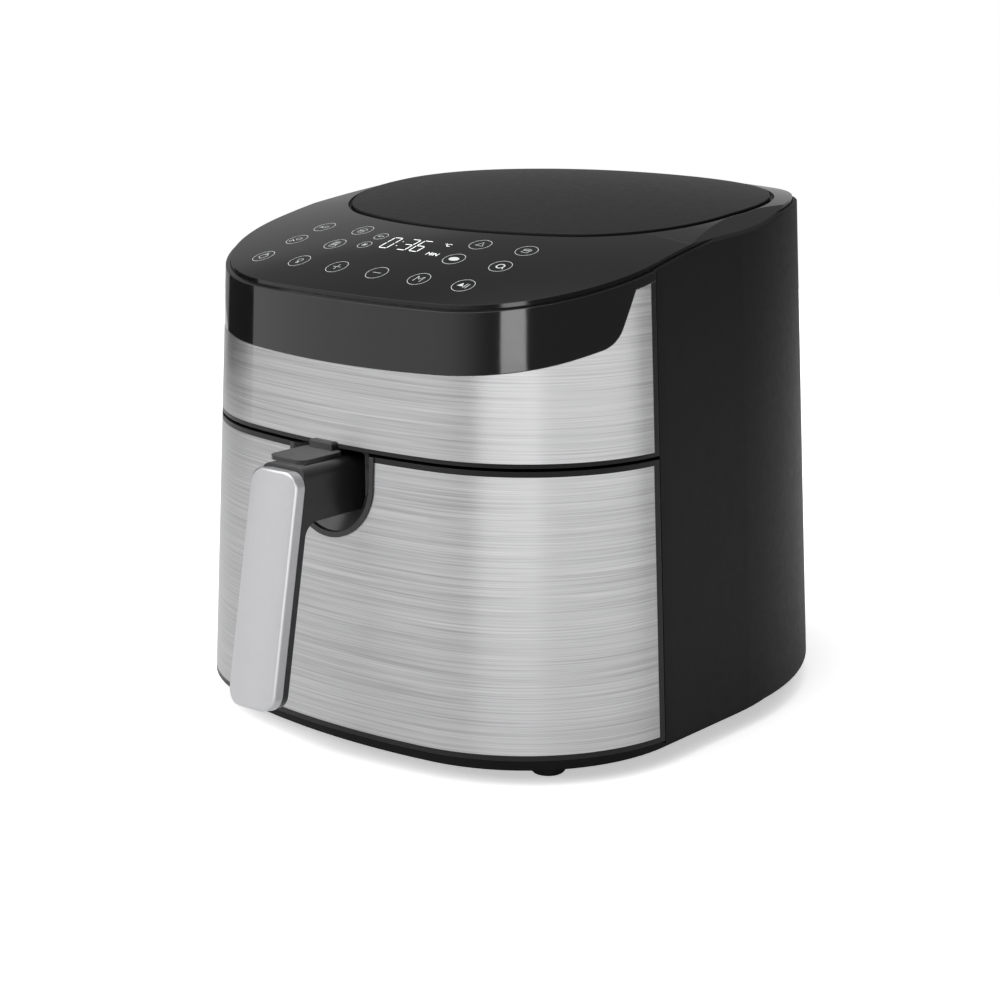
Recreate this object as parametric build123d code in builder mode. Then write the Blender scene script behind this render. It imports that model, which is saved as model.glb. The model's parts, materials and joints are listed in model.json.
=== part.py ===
from build123d import *

import os
from math import asin, cos, degrees, radians, sin, sqrt, tan

# Basket air fryer, in millimetres and degrees. X runs to the right as seen by the cook, Y runs
# from the front to the back and Z is up. The origin is on the table, under the middle of the
# footprint between the face of the grip and the back of the housing.

os.makedirs("parts", exist_ok=True)

# ------------------------------------------------------------------ driving dimensions
# Plan of the body at table level; everything above it leans in by the draft.
BODY_WIDTH = 304.5
BODY_DEPTH = 363.4
FRONT_Y = -155.8
FRONT_RADIUS = 390.0
CORNER_RADIUS = 104.0
REAR_CORNER_RADIUS = 195.0
REAR_RADIUS = 93.0
DRAFT = 3.0
SHELL = 2.5

# Heights of the bands that stack up the body.
BASE_BOTTOM = 6.5
BASE_TOP = 12.6
BASE_INSET = 8.0
DRAWER_GAP_BELOW = 1.9
DRAWER_TOP = 164.3
DRAWER_TRIM = 2.8
DRAWER_GAP_ABOVE = 1.7
UPPER_TRIM = 2.2
STEEL = 0.8
BAND_FRONT_Z = 207.8

# Parting seam between the front parts and the rear housing, leaning back as it rises.
SEAM_Y = -55.5
SEAM_LEAN = 0.36
SEAM_GAP = 0.6
SEAM_BORDER = 4.0
SEAM_LINE = 0.4

# Crowned top: an arc along Y swept sideways on a large radius.
CROWN_RADIUS = 1120.0
CROWN_JOIN_Y = 4.0
CROWN_JOIN_Z = 279.3
CROWN_JOIN_SLOPE = 7.8
PANEL_RADIUS = 685.0
REAR_TOP_RADIUS = 532.0
PANEL_RISE = 2.3
PANEL_REAR_Y = -20.0
TOP_THICKNESS = 3.5
CUT_ROOM = 40.0
RIM_GAP = 0.15
LEDGE_WIDTH = 4.0
LEDGE_HEIGHT = 2.5
LEDGE_GAP = 0.1

# Sloping wings around the back of the lid.
WING_RADIUS = 300.0
WING_FRONT_SLOPE = 2.4
WING_JOIN_Y = 55.0
WING_JOIN_RISE = 21.8
WING_REAR_RADIUS = 1150.0

# Corner where the lower edge of the gloss band turns up towards the rim.
HORN_Y = -79.9
HORN_RISE = 17.9
HORN_RUN = 18.2
HORN_CLIMB = 40.0
HORN_RADIUS = 18.0
BAND_RIM = 5.0
BAND_SAG = 1.5
BAND_APPROACH = 5.1

# Lens-shaped lid in its groove.
LENS_HALF_WIDTH = 123.6
LENS_FRONT_Y = -59.0
LENS_FRONT_RADIUS = 200.0
LENS_CORNER_RADIUS = 81.0
LENS_SIDE = 12.0
LENS_REAR_CORNER_RADIUS = 108.0
LENS_REAR_RADIUS = 155.0
LENS_GROOVE = 2.4
LENS_DEPTH = 4.0
LENS_RISE = 0.6
LENS_MID_Y = 47.0

# Drawer pan and frying basket.
PAN_SIDE_ROOM = 38.25
PAN_FRONT_Y = -114.0
PAN_REAR_ROOM = 83.6
PAN_BOTTOM = 30.0
PAN_CORNER = 47.0
PAN_WALL = 1.2
PAN_FILLET = 6.0
FLANGE_WIDTH = 8.0
FLANGE_THICKNESS = 1.5
BASKET_GAP = 4.0
BASKET_WALL = 1.0
BASKET_BOTTOM = 46.0
BASKET_TOP = 156.0
BASKET_FILLET = 8.0
BASKET_ROLL = 2.0
BASKET_LEDGE = 20.0
SLOT_LENGTH = 11.0
SLOT_WIDTH = 3.5
SLOT_PITCH = 16.0
SLOT_ROW = 12.0
SLOT_RISE = 26.0
TRAY_THICKNESS = 1.5
FLOOR_HOLE = 6.0
FLOOR_PITCH = 13.0
BASKET_FOOT_RADIUS = 5.0

# Bay in the housing that the pan slides into.
RUNNER_GAP = 0.3
RUNNER_THICKNESS = 2.0
RUNNER_INSET = 2.0
PASS_GAP = 0.6
BAY_SIDE_GAP = 4.2
BAY_REAR_GAP = 12.0
LINER_WALL = 1.0
LINER_ROUNDING = 7.0
LINER_BOTTOM = 18.0
BAY_FRAME_THICKNESS = 3.0
CHASSIS_THICKNESS = 2.0
CHASSIS_GAP = 0.8
POST_RADIUS = 4.5
POST_GAP = 1.0
POST_FRONT_Y = -25.0
POST_MIDDLE_Y = 45.0
REAR_POST_X = 52.0
REAR_POST_ROOM = 47.6
RIB_THICKNESS = 4.0
LID_SLOT_INNER = 30.0
LID_SLOT_OUTER = 60.0
LID_SLOT_WIDTH = 3.0
LID_SLOT_STEP = 15

# Heater, fan and motor stack.
FAN_Y = 5.0
DISH_RADIUS = 104.0
DISH_FLANGE = 10.0
DISH_HEIGHT = 27.0
SHEET = 1.0
GUARD_RADIUS = 102.0
GUARD_RIM = 7.0
GUARD_BAR = 3.0
GUARD_PITCH = 18.0
GUARD_RINGS = 5
GUARD_SPOKES = 8
COIL_RADIUS = 84.0
COIL_ROD = 7.0
COIL_DROP = 19.5
COIL_GAP_ANGLE = 14.0
LEG_SLEEVE = 0.3
LEG_RISE = 12.0
INSULATOR_WALL = 3.0
INSULATOR_HEIGHT = 6.0
CLIP_WIDTH = 6.0
FAN_RADIUS = 62.0
FAN_HEIGHT = 11.0
FAN_HUB = 10.0
FAN_DROP = 7.0
FAN_BLADES = 8
BLADE = 1.2
NUT_RADIUS = 7.0
NUT_HEIGHT = 4.5
SHAFT_RADIUS = 4.0
SHAFT_FIT = 0.05
SHAFT_CLEARANCE = 3.0
SHAFT_END = 1.0
MOTOR_RADIUS = 32.0
MOTOR_HEIGHT = 24.0
MOTOR_WALL = 1.5
MOTOR_LEG = 10.0
MOTOR_LEG_RADIUS = 4.0
MOTOR_FLANGE = 16.0
BEARING_RADIUS = 9.0
BEARING_HEIGHT = 5.0
BEARING_SEAT = 2.0
ROTOR_RADIUS = 18.0
ROTOR_AIR_GAP = 0.6
CORE_GAP = 1.0
COOLING_GAP = 4.0
COOLING_RADIUS = 50.0
COOLING_HEIGHT = 11.0
COOLING_BLADES = 7
COOLING_PITCH = 35.0
PROBE_X = 45.0
PROBE_Y = 55.0
PROBE_RADIUS = 2.5
PROBE_DEPTH = 12.0
PROBE_STUB = 6.0
CUTOUT_RADIUS = 8.0
CUTOUT_HEIGHT = 7.0

# Handle, its notch in the drawer front and its release.
NOTCH_HALF_WIDTH = 30.0
NOTCH_BOTTOM = 118.2
BEZEL_WALL = 2.8
BOWL_BACK_Y = -136.3
BOWL_DEPTH = 11.0
BOWL_FLOOR = 1.8
BOWL_TAPER = 45
BEZEL_PROUD = 0.8
BRACKET_Y = -135.0
BRACKET_THICKNESS = 4.0
HANDLE_GAP = 0.3
NECK_BOTTOM = 134.0
NECK_TOP = 162.0
GRIP_TOP_DROP = 0.3
GRIP_LENGTH = 123.7
GRIP_TILT = 10.3
GRIP_TOP_Y = -181.4
GRIP_WIDTH = 33.0
GRIP_SIDE = 6.2
GRIP_BULGE = 2.4
GRIP_CORNER = 9.0
GRIP_EDGE = 1.5
GRIP_WALL = 1.8
GRIP_FILLET = 9.0
CORE_THICKNESS = 5.0
CORE_INSET = 1.0
NECK_ROUNDING = 5.5
GRIP_SCREW_LOW = 25.0
GRIP_SCREW_HIGH = 78.0
GRIP_BOSS = 4.5
COVER_HALF_WIDTH = 12.5
COVER_FRONT_Y = -180.5
COVER_REAR_Y = -149.5
COVER_THICKNESS = 2.2
COVER_LIFT = 1.6
COVER_GAP = 0.2
COVER_CORNER = 5.0
RAIL_INNER = 7.6
RAIL_WIDTH = 2.2
TAB_LENGTH = 5.0
TAB_HEIGHT = 4.5
TAB_HALF_WIDTH = 8.0
TAB_ROUNDING = 1.5
BUTTON_Y = -160.0
BUTTON_HALF = 7.0
BUTTON_GAP = 0.2
BUTTON_CAP = 6.6
STEM_RADIUS = 2.0
SPRING_FLOOR = 147.0
SPRING_RADIUS = 4.5
SPRING_WIRE = 0.9
SPRING_TURNS = 4
LATCH_PIVOT_Y = -127.0
LATCH_PIVOT_Z = 142.0
LATCH_HALF_WIDTH = 2.5
LATCH_GAP = 0.7
LATCH_REACH = 35.0
LATCH_ARM_RISE = 1.5
LATCH_ARM = 3.5
LATCH_HUB = 3.5
LATCH_BLADE = 3.0
LATCH_DROP = 14.0
HOOK_LENGTH = 2.4
HOOK_HEIGHT = 3.2
HOOK_GAP = 0.3
LATCH_PIN_RADIUS = 1.5
PIN_FIT = 0.05
KEEPER_HALF_WIDTH = 3.0
KEEPER_THICKNESS = 2.0
KEEPER_LIP = 1.5
KEEPER_REACH = 1.0
EAR_THICKNESS = 4.0
EAR_REACH = 4.0
EAR_HALF_HEIGHT = 6.0
LATCH_POCKET_FLOOR = 135.5
LATCH_POCKET_TOP = 145.5
RIB_X = 16.0
RIB_Z = 141.0
RIB_HALF_WIDTH = 2.5
RIB_HALF_HEIGHT = 8.0
ARM_SCREW_X = 10.5
ARM_SCREW_Z = 154.0

# Boards, display and drawer switch.
BOARD_TILT = 16.0
BOARD_Y = -105.0
BOARD_DROP = 12.0
BOARD_WIDTH = 140.0
BOARD_LENGTH = 48.0
BOARD_THICKNESS = 1.6
BOARD_MARGIN = 6.0
BOARD_POST_RADIUS = 3.0
DISPLAY_WIDTH = 64.0
DISPLAY_LENGTH = 22.0
POWER_ROOM = 59.6
POWER_WIDTH = 90.0
POWER_LIFT = 6.0
TRANSFORMER = 24.0
CAPACITOR_RADIUS = 6.0
SWITCH_WIDTH = 10.0
SWITCH_LENGTH = 16.0
SWITCH_HEIGHT = 20.0
SWITCH_BORE = 9.0
PLUNGER_RADIUS = 1.5
PLUNGER_GAP = 0.3
PLUNGER_FIT = 0.1

# Vent and cord inlet at the back.
VENT_WIDTH = 84.0
VENT_BOTTOM = 170.5
VENT_HEIGHT = 36.0
VENT_SLOT = 3.2
VENT_PITCH = 6.0
VENT_BAR = 3.0
DUCT_WIDTH = 72.0
DUCT_HEIGHT = 22.0
DUCT_WALL = 1.5
INLET_Z = 42.0
INLET_RADIUS = 7.5
INLET_FLANGE = 10.5
INLET_BORE = 4.0
INLET_LENGTH = 12.5
INLET_INSIDE = 10.0
INLET_CHAMFER = 0.8

FOOT_RADIUS = 9.0
FOOT_SIDE_ROOM = 44.25
FOOT_REAR_SIDE_ROOM = 71.25
FOOT_FRONT_ROOM = 55.8
FOOT_REAR_ROOM = 89.6
FOOT_HEIGHT = 4.5
FOOT_CHAMFER = 1.0
SCREW_HEAD_RADIUS = 3.0
SCREW_HEAD = 2.2
SCREW_RADIUS = 1.5
SCREW_BITE = 2.0
SCREW_LENGTH = 10.0

# ------------------------------------------------------------------ derived places
SLOPE = tan(radians(DRAFT))
HALF_WIDTH = BODY_WIDTH / 2
REAR_Y = FRONT_Y + BODY_DEPTH
CEILING = CROWN_JOIN_Z + CUT_ROOM
FAR = 2 * CROWN_JOIN_Z

DRAWER_BOTTOM = BASE_TOP + DRAWER_GAP_BELOW
UPPER_BOTTOM = DRAWER_TOP + DRAWER_GAP_ABOVE
UPPER_STEEL_BOTTOM = UPPER_BOTTOM + UPPER_TRIM
FLANGE_TOP = DRAWER_TOP - DRAWER_TRIM
FLANGE_BOTTOM = FLANGE_TOP - FLANGE_THICKNESS
HOUSING_FLOOR_TOP = BASE_TOP + SHELL
CHASSIS_BOTTOM = UPPER_BOTTOM + CHASSIS_GAP
CHASSIS_TOP = CHASSIS_BOTTOM + CHASSIS_THICKNESS

PAN_HALF = HALF_WIDTH - PAN_SIDE_ROOM
PAN_WIDTH = 2 * PAN_HALF
PAN_REAR_Y = REAR_Y - PAN_REAR_ROOM
PAN_MID_Y = (PAN_FRONT_Y + PAN_REAR_Y) / 2
FLANGE_HALF = PAN_HALF + FLANGE_WIDTH
LINER_HALF = FLANGE_HALF + BAY_SIDE_GAP
LINER_REAR_Y = PAN_REAR_Y + BAY_REAR_GAP
BAY_FRAME_REAR_Y = SEAM_Y + UPPER_BOTTOM * tan(radians(SEAM_LEAN)) + SEAM_GAP + 2 * BAY_FRAME_THICKNESS
BAY_FRAME_FRONT_Y = BAY_FRAME_REAR_Y - BAY_FRAME_THICKNESS
DRAWER_BACK_Y = SEAM_Y - SEAM_GAP - SHELL

LINER_CORNER = PAN_CORNER + FLANGE_WIDTH + LINER_ROUNDING
RUNNER_TOP = FLANGE_BOTTOM - RUNNER_GAP
RUNNER_INNER = PAN_HALF + RUNNER_INSET
RUNNER_WEB = FLANGE_HALF + RUNNER_GAP
RUNNER_LENGTH = PAN_REAR_Y - PAN_CORNER - BAY_FRAME_REAR_Y
SWITCH_X = LINER_HALF + LINER_WALL + SWITCH_WIDTH / 2 + POST_GAP
SWITCH_Z = FLANGE_BOTTOM - SWITCH_HEIGHT

DISH_TOP = CHASSIS_TOP + DISH_HEIGHT
COIL_Z = DISH_TOP - COIL_DROP
LEG_RADIUS = COIL_ROD / 2 + LEG_SLEEVE
LEG_X = -COIL_RADIUS * cos(radians(COIL_GAP_ANGLE))
LEG_SPREAD = COIL_RADIUS * sin(radians(COIL_GAP_ANGLE))
COIL_LEGS = ((LEG_X, FAN_Y - LEG_SPREAD), (LEG_X, FAN_Y + LEG_SPREAD))
FAN_TOP = DISH_TOP - SHEET - FAN_DROP
FAN_BOTTOM = FAN_TOP - FAN_HEIGHT
SHAFT_BOTTOM = FAN_BOTTOM - NUT_HEIGHT - SHAFT_END
MOTOR_BOTTOM = DISH_TOP + MOTOR_LEG
MOTOR_TOP = MOTOR_BOTTOM + MOTOR_HEIGHT
LOWER_BEARING = MOTOR_BOTTOM + MOTOR_WALL
UPPER_BEARING = MOTOR_TOP - BEARING_HEIGHT
STATOR_BOTTOM = LOWER_BEARING + BEARING_HEIGHT + CORE_GAP
STATOR_TOP = UPPER_BEARING - CORE_GAP
COOLING_BOTTOM = MOTOR_TOP + COOLING_GAP
SHAFT_TOP = COOLING_BOTTOM + COOLING_HEIGHT + SHAFT_END
POWER_BOTTOM = CHASSIS_TOP + DUCT_HEIGHT + POWER_LIFT
POWER_Y = REAR_Y - POWER_ROOM
REAR_POST_Y = REAR_Y - REAR_POST_ROOM
FOOT_X = HALF_WIDTH - FOOT_SIDE_ROOM
FOOT_REAR_X = HALF_WIDTH - FOOT_REAR_SIDE_ROOM
FOOT_FRONT_Y = FRONT_Y + FOOT_FRONT_ROOM
FOOT_REAR_Y = REAR_Y - FOOT_REAR_ROOM

BASKET_INSET = PAN_WALL + BASKET_GAP
BASKET_FRONT_Y = PAN_FRONT_Y + BASKET_INSET
BRACKET_BACK_Y = BRACKET_Y + BRACKET_THICKNESS
NOTCH_INNER = NOTCH_HALF_WIDTH - BEZEL_WALL
GRIP_LEAN = radians(GRIP_TILT)
GRIP_TOP_Z = NECK_TOP - GRIP_TOP_DROP - (GRIP_SIDE + GRIP_BULGE) * sin(GRIP_LEAN)
GRIP_BOTTOM = GRIP_TOP_Z - GRIP_LENGTH * cos(GRIP_LEAN)
GRIP_BACK_Y = GRIP_TOP_Y - GRIP_LENGTH * sin(GRIP_LEAN)
COVER_BOTTOM = NECK_TOP + COVER_LIFT
COVER_TOP = COVER_BOTTOM + COVER_THICKNESS
BUTTON_BOTTOM = NECK_TOP - BUTTON_CAP
LATCH_ARM_TOP = LATCH_PIVOT_Z + LATCH_ARM_RISE
HOOK_BOTTOM = LATCH_PIVOT_Z - LATCH_DROP
HOOK_TIP_Y = LATCH_PIVOT_Y - LATCH_BLADE / 2 - HOOK_LENGTH
KEEPER_BOTTOM = HOOK_BOTTOM + HOOK_HEIGHT + HOOK_GAP
KEEPER_BACK_Y = HOOK_TIP_Y + KEEPER_REACH
EAR_INNER = LATCH_HALF_WIDTH + LATCH_GAP
CORNER_STEP = (PAN_CORNER + FLANGE_WIDTH / 2) * sin(radians(45))


# ------------------------------------------------------------------ shared shapes
def oval_outline(
    half_width, front_y, front_radius, corner_radius, side, rear_corner_radius, rear_radius, inset
):
    """Return a closed plan outline of tangent arcs with straight sides, offset inward by inset."""
    front_turn = degrees(asin((half_width - corner_radius) / (front_radius - corner_radius)))
    rear_turn = degrees(asin((rear_corner_radius - half_width) / (rear_corner_radius - rear_radius)))
    side_start = front_y + front_radius - (front_radius - corner_radius) * cos(radians(front_turn))
    side_end = side_start + side
    rear_center = side_end + (rear_corner_radius - rear_radius) * cos(radians(rear_turn))
    with BuildSketch() as outline:
        with BuildLine():
            CenterArc((0, front_y + front_radius), front_radius - inset, -90, front_turn)
            CenterArc(
                (half_width - corner_radius, side_start),
                corner_radius - inset,
                front_turn - 90,
                90 - front_turn,
            )
            Line((half_width - inset, side_start), (half_width - inset, side_end))
            CenterArc(
                (half_width - rear_corner_radius, side_end),
                rear_corner_radius - inset,
                0,
                90 - rear_turn,
            )
            CenterArc((0, rear_center), rear_radius - inset, 90 - rear_turn, rear_turn)
            mirror(about=Plane.YZ)
        make_face()
    return outline.sketch


def body_side_length():
    """Return the straight run of the sides that makes the body as deep as BODY_DEPTH."""
    front_run = FRONT_RADIUS - sqrt(
        (FRONT_RADIUS - CORNER_RADIUS) ** 2 - (HALF_WIDTH - CORNER_RADIUS) ** 2
    )
    rear_run = REAR_RADIUS + sqrt(
        (REAR_CORNER_RADIUS - REAR_RADIUS) ** 2 - (REAR_CORNER_RADIUS - HALF_WIDTH) ** 2
    )
    return BODY_DEPTH - front_run - rear_run


def body_outline(inset):
    """Return the plan of the body at table level, offset inward by inset."""
    return oval_outline(
        HALF_WIDTH,
        FRONT_Y,
        FRONT_RADIUS,
        CORNER_RADIUS,
        body_side_length(),
        REAR_CORNER_RADIUS,
        REAR_RADIUS,
        inset,
    )


def lens_outline(inset):
    """Return the plan of the lid's recess, offset inward by inset."""
    return oval_outline(
        LENS_HALF_WIDTH,
        LENS_FRONT_Y,
        LENS_FRONT_RADIUS,
        LENS_CORNER_RADIUS,
        LENS_SIDE,
        LENS_REAR_CORNER_RADIUS,
        LENS_REAR_RADIUS,
        inset,
    )


def body_block(bottom, top, inset=0.0):
    """Return the drafted body between two heights, with its walls moved inward by inset."""
    with BuildPart() as block:
        with BuildSketch(Plane.XY.offset(bottom)):
            add(body_outline(inset + bottom * SLOPE))
        extrude(amount=top - bottom, taper=DRAFT)
    return block.part


def lens_block(bottom, top, inset=0.0):
    """Return an upright block on the plan of the lid's recess."""
    with BuildPart() as block:
        with BuildSketch(Plane.XY.offset(bottom)):
            add(lens_outline(inset))
        extrude(amount=top - bottom)
    return block.part


def swept_sky(profile, radius, reference_z):
    """Return a YZ profile swept sideways on an arc of the given radius, wider than the body."""
    axis = Axis((0, 0, reference_z - radius), (0, 1, 0))
    half_angle = degrees(asin((HALF_WIDTH + SHELL) / radius)) + 2
    with BuildPart() as sky:
        with BuildSketch(Plane.YZ):
            add(profile)
        revolve(axis=axis, revolution_arc=2 * half_angle)
    return sky.part.rotate(axis, -half_angle)


def crown_sky(drop):
    """Return everything above the crowned top, lowered by drop."""
    slope = radians(CROWN_JOIN_SLOPE)
    join = (CROWN_JOIN_Y, CROWN_JOIN_Z)
    front_arc = 1 + degrees(asin((CROWN_JOIN_Y - FRONT_Y) / PANEL_RADIUS + sin(slope))) - CROWN_JOIN_SLOPE
    rear_arc = 1 + degrees((REAR_Y - CROWN_JOIN_Y) / REAR_TOP_RADIUS)
    with BuildSketch() as profile:
        with BuildLine():
            front = JernArc(join, (-cos(slope), -sin(slope)), PANEL_RADIUS, front_arc)
            rear = JernArc(join, (cos(slope), sin(slope)), REAR_TOP_RADIUS, -rear_arc)
            Polyline(front @ 1, ((front @ 1).X, FAR), ((rear @ 1).X, FAR), rear @ 1)
        make_face()
    return Pos(0, 0, -drop) * swept_sky(profile.sketch, CROWN_RADIUS, CROWN_JOIN_Z)


def crown_height(y):
    """Return the height of the crowned top on the centre line."""
    slope = radians(CROWN_JOIN_SLOPE)
    radius = PANEL_RADIUS if y < CROWN_JOIN_Y else REAR_TOP_RADIUS
    across = y - CROWN_JOIN_Y - radius * sin(slope)
    return CROWN_JOIN_Z - radius * cos(slope) + sqrt(radius**2 - across**2)


def wing_sky():
    """Return everything above the wings that slope down from the lid to the rear rim."""
    slope = radians(WING_FRONT_SLOPE)
    join_z = crown_height(WING_JOIN_Y) + WING_JOIN_RISE
    front_y = FRONT_Y - SHELL
    rear_arc = 2 + degrees((REAR_Y - WING_JOIN_Y) / WING_REAR_RADIUS)
    with BuildSketch() as profile:
        with BuildLine():
            front = Line((WING_JOIN_Y, join_z), (front_y, join_z - (WING_JOIN_Y - front_y) * tan(slope)))
            rear = JernArc((WING_JOIN_Y, join_z), (cos(slope), sin(slope)), WING_REAR_RADIUS, -rear_arc)
            Polyline(front @ 1, (front_y, FAR), ((rear @ 1).X, FAR), rear @ 1)
        make_face()
    return swept_sky(profile.sketch, WING_RADIUS, join_z)


def seam_plane(shift):
    """Return the leaning seam plane moved along Y by shift; its normal points to the back."""
    lean = radians(SEAM_LEAN)
    return Plane(
        origin=(0, SEAM_Y + shift, 0), x_dir=(1, 0, 0), z_dir=(0, cos(lean), -sin(lean))
    )


def body_ring(bottom, top, outer, inner):
    """Return the wall of the body between two insets."""
    with BuildPart() as ring:
        add(body_block(bottom, top, outer))
        add(body_block(bottom, top, inner), mode=Mode.SUBTRACT)
    return ring.part


def band_zone():
    """Return the zone above the lower edge of the gloss band, drawn from the side."""
    front_y = FRONT_Y - SHELL
    horn = (HORN_Y, BAND_FRONT_Z + HORN_RISE)
    tip = (HORN_Y + HORN_RUN, horn[1] + HORN_CLIMB)
    with BuildPart() as zone:
        with BuildSketch(Plane.YZ):
            with BuildLine():
                approach = (HORN_Y - HORN_RADIUS, horn[1] - BAND_APPROACH)
                edge = SagittaArc((front_y, BAND_FRONT_Z), approach, -BAND_SAG)
                FilletPolyline(edge @ 1, horn, tip, radius=HORN_RADIUS)
                Polyline(tip, (tip[0], FAR), (front_y, FAR), edge @ 0)
            make_face()
        extrude(amount=HALF_WIDTH, both=True)
    return zone.part


def tub(half_width, front_y, rear_y, corner, bottom, top):
    """Return an upright block on a rounded rectangle."""
    with BuildPart() as block:
        with BuildSketch(Plane.XY.offset(bottom)):
            with Locations((0, (front_y + rear_y) / 2)):
                RectangleRounded(2 * half_width, rear_y - front_y, corner)
        extrude(amount=top - bottom)
    return block.part


def box_between(x0, x1, y0, y1, z0, z1):
    """Return a box between two corners."""
    size = (x1 - x0, y1 - y0, z1 - z0)
    return Pos((x0 + x1) / 2, (y0 + y1) / 2, (z0 + z1) / 2) * Box(*size, mode=Mode.PRIVATE)


def rod_between(x, y, z0, z1, radius):
    """Return an upright round rod."""
    return Pos(x, y, (z0 + z1) / 2) * Cylinder(radius, z1 - z0, mode=Mode.PRIVATE)


def notch_block(half_width, front_y, rear_y):
    """Return a block on the U shape of the handle notch, open upwards."""
    center_z = NOTCH_BOTTOM + NOTCH_HALF_WIDTH
    with BuildPart() as block:
        with BuildSketch(Plane.XZ.offset(-rear_y)):
            with Locations((0, center_z)):
                Circle(half_width)
            with Locations((0, (center_z + FAR) / 2)):
                Rectangle(2 * half_width, FAR - center_z)
        extrude(amount=rear_y - front_y)
    return block.part


def notch_bowl():
    """Return the room in front of the bowl: the notch narrowed backwards."""
    center_z = NOTCH_BOTTOM + NOTCH_HALF_WIDTH
    with BuildPart() as room:
        with BuildSketch(Plane.XZ.offset(BOWL_DEPTH - BOWL_BACK_Y)):
            with Locations((0, center_z)):
                Circle(NOTCH_INNER)
            with Locations((0, (center_z + FAR) / 2)):
                Rectangle(2 * NOTCH_INNER, FAR - center_z)
        extrude(amount=-BOWL_DEPTH + BOWL_FLOOR, taper=BOWL_TAPER)
    return room.part


def top_sky(drop):
    """Return everything above the crown, lowered by drop, and above the wings."""
    with BuildPart() as sky:
        add(crown_sky(drop))
        add(wing_sky())
    return sky.part


def rod_along_y(x, z, y0, y1, radius):
    """Return a round rod that runs from front to back."""
    rod = Cylinder(radius, y1 - y0, rotation=(90, 0, 0), mode=Mode.PRIVATE)
    return Pos(x, (y0 + y1) / 2, z) * rod


def rod_along_x(y, z, x0, x1, radius):
    """Return a round rod that runs from left to right."""
    rod = Cylinder(radius, x1 - x0, rotation=(0, 90, 0), mode=Mode.PRIVATE)
    return Pos((x0 + x1) / 2, y, z) * rod


def mirrored_pairs(points):
    """Return the points and their mirror images across the middle of the body."""
    return [(side * x, y) for side in (-1, 1) for x, y in points]


def top_ledge():
    """Return the ledge inside the rim that carries the top cover."""
    with BuildPart() as ledge:
        add(body_ring(BAND_FRONT_Z, CEILING, SHELL / 2, SHELL + LEDGE_WIDTH))
        add(top_sky(TOP_THICKNESS + LEDGE_GAP), mode=Mode.SUBTRACT)
        add(crown_sky(TOP_THICKNESS + LEDGE_HEIGHT), mode=Mode.INTERSECT)
    return ledge.part


def chassis_posts():
    """Return the posts inside the housing that the chassis plate is screwed to."""
    with BuildPart() as posts:
        for x, y in mirrored_pairs(CHASSIS_POSTS):
            add(rod_between(x, y, BASE_TOP, CHASSIS_BOTTOM, POST_RADIUS))
        add(body_block(BASE_TOP, CHASSIS_BOTTOM, SHELL / 2), mode=Mode.INTERSECT)
    return posts.part


def pan_block(inset, bottom, top):
    """Return an upright block on the plan of the pan, offset inward by inset."""
    return tub(
        PAN_HALF - inset,
        PAN_FRONT_Y + inset,
        PAN_REAR_Y - inset,
        PAN_CORNER - inset,
        bottom,
        top,
    )


def drum(bottom, top, radius):
    """Return a round block on the axis of the fan."""
    return rod_between(0, FAN_Y, bottom, top, radius)


# ------------------------------------------------------------------ housing
VENT_BOX = box_between(
    -VENT_WIDTH / 2, VENT_WIDTH / 2, REAR_Y / 2, FAR, VENT_BOTTOM, VENT_BOTTOM + VENT_HEIGHT
)
INLET_PLANE = Plane(origin=(0, REAR_Y - INLET_Z * SLOPE - INLET_INSIDE, INLET_Z), z_dir=(0, 1, 0))
INLET_HOLE = rod_along_y(0, INLET_Z, REAR_Y / 2, FAR, INLET_RADIUS)
POST_X = LINER_HALF + LINER_WALL + POST_RADIUS + POST_GAP
CHASSIS_POSTS = ((POST_X, POST_FRONT_Y), (POST_X, POST_MIDDLE_Y), (REAR_POST_X, REAR_POST_Y))
FOOT_PLACES = mirrored_pairs(((FOOT_X, FOOT_FRONT_Y), (FOOT_REAR_X, FOOT_REAR_Y)))

with BuildPart() as rear_housing:
    add(body_block(BASE_TOP, CEILING))
    add(top_sky(0), mode=Mode.SUBTRACT)
    add(body_block(HOUSING_FLOOR_TOP, CEILING, SHELL), mode=Mode.SUBTRACT)
    add(top_ledge())
    # Ribs under the liner and posts for the chassis plate.
    for x in (-LINER_HALF / 2, LINER_HALF / 2):
        rib = (x - RIB_THICKNESS / 2, x + RIB_THICKNESS / 2)
        add(box_between(*rib, BAY_FRAME_REAR_Y, PAN_MID_Y, HOUSING_FLOOR_TOP, LINER_BOTTOM))
    add(chassis_posts())
    add(VENT_BOX, mode=Mode.SUBTRACT)
    add(INLET_HOLE, mode=Mode.SUBTRACT)
    split(bisect_by=seam_plane(0), keep=Keep.TOP)
rear_housing.part.label = "rear_housing"
export_step(rear_housing.part, "parts/rear_housing.step")

# Tray under the housing: it closes the bottom and carries the feet.
with BuildPart() as base_tray:
    add(body_ring(BASE_BOTTOM, BASE_TOP, BASE_INSET, BASE_INSET + SHELL))
    add(body_block(BASE_TOP - SHELL, BASE_TOP, BASE_INSET + SHELL / 2))
    for x, y in FOOT_PLACES:
        add(rod_between(x, y, FOOT_HEIGHT, BASE_TOP - SHELL / 2, FOOT_RADIUS + SHELL))
base_tray.part.label = "base_tray"
export_step(base_tray.part, "parts/base_tray.step")

with BuildPart() as rubber_feet:
    for x, y in FOOT_PLACES:
        add(rod_between(x, y, 0, FOOT_HEIGHT, FOOT_RADIUS))
    chamfer(rubber_feet.edges().group_by(Axis.Z)[0], length=FOOT_CHAMFER)
rubber_feet.part.label = "rubber_feet"
export_step(rubber_feet.part, "parts/rubber_feet.step")

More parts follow.
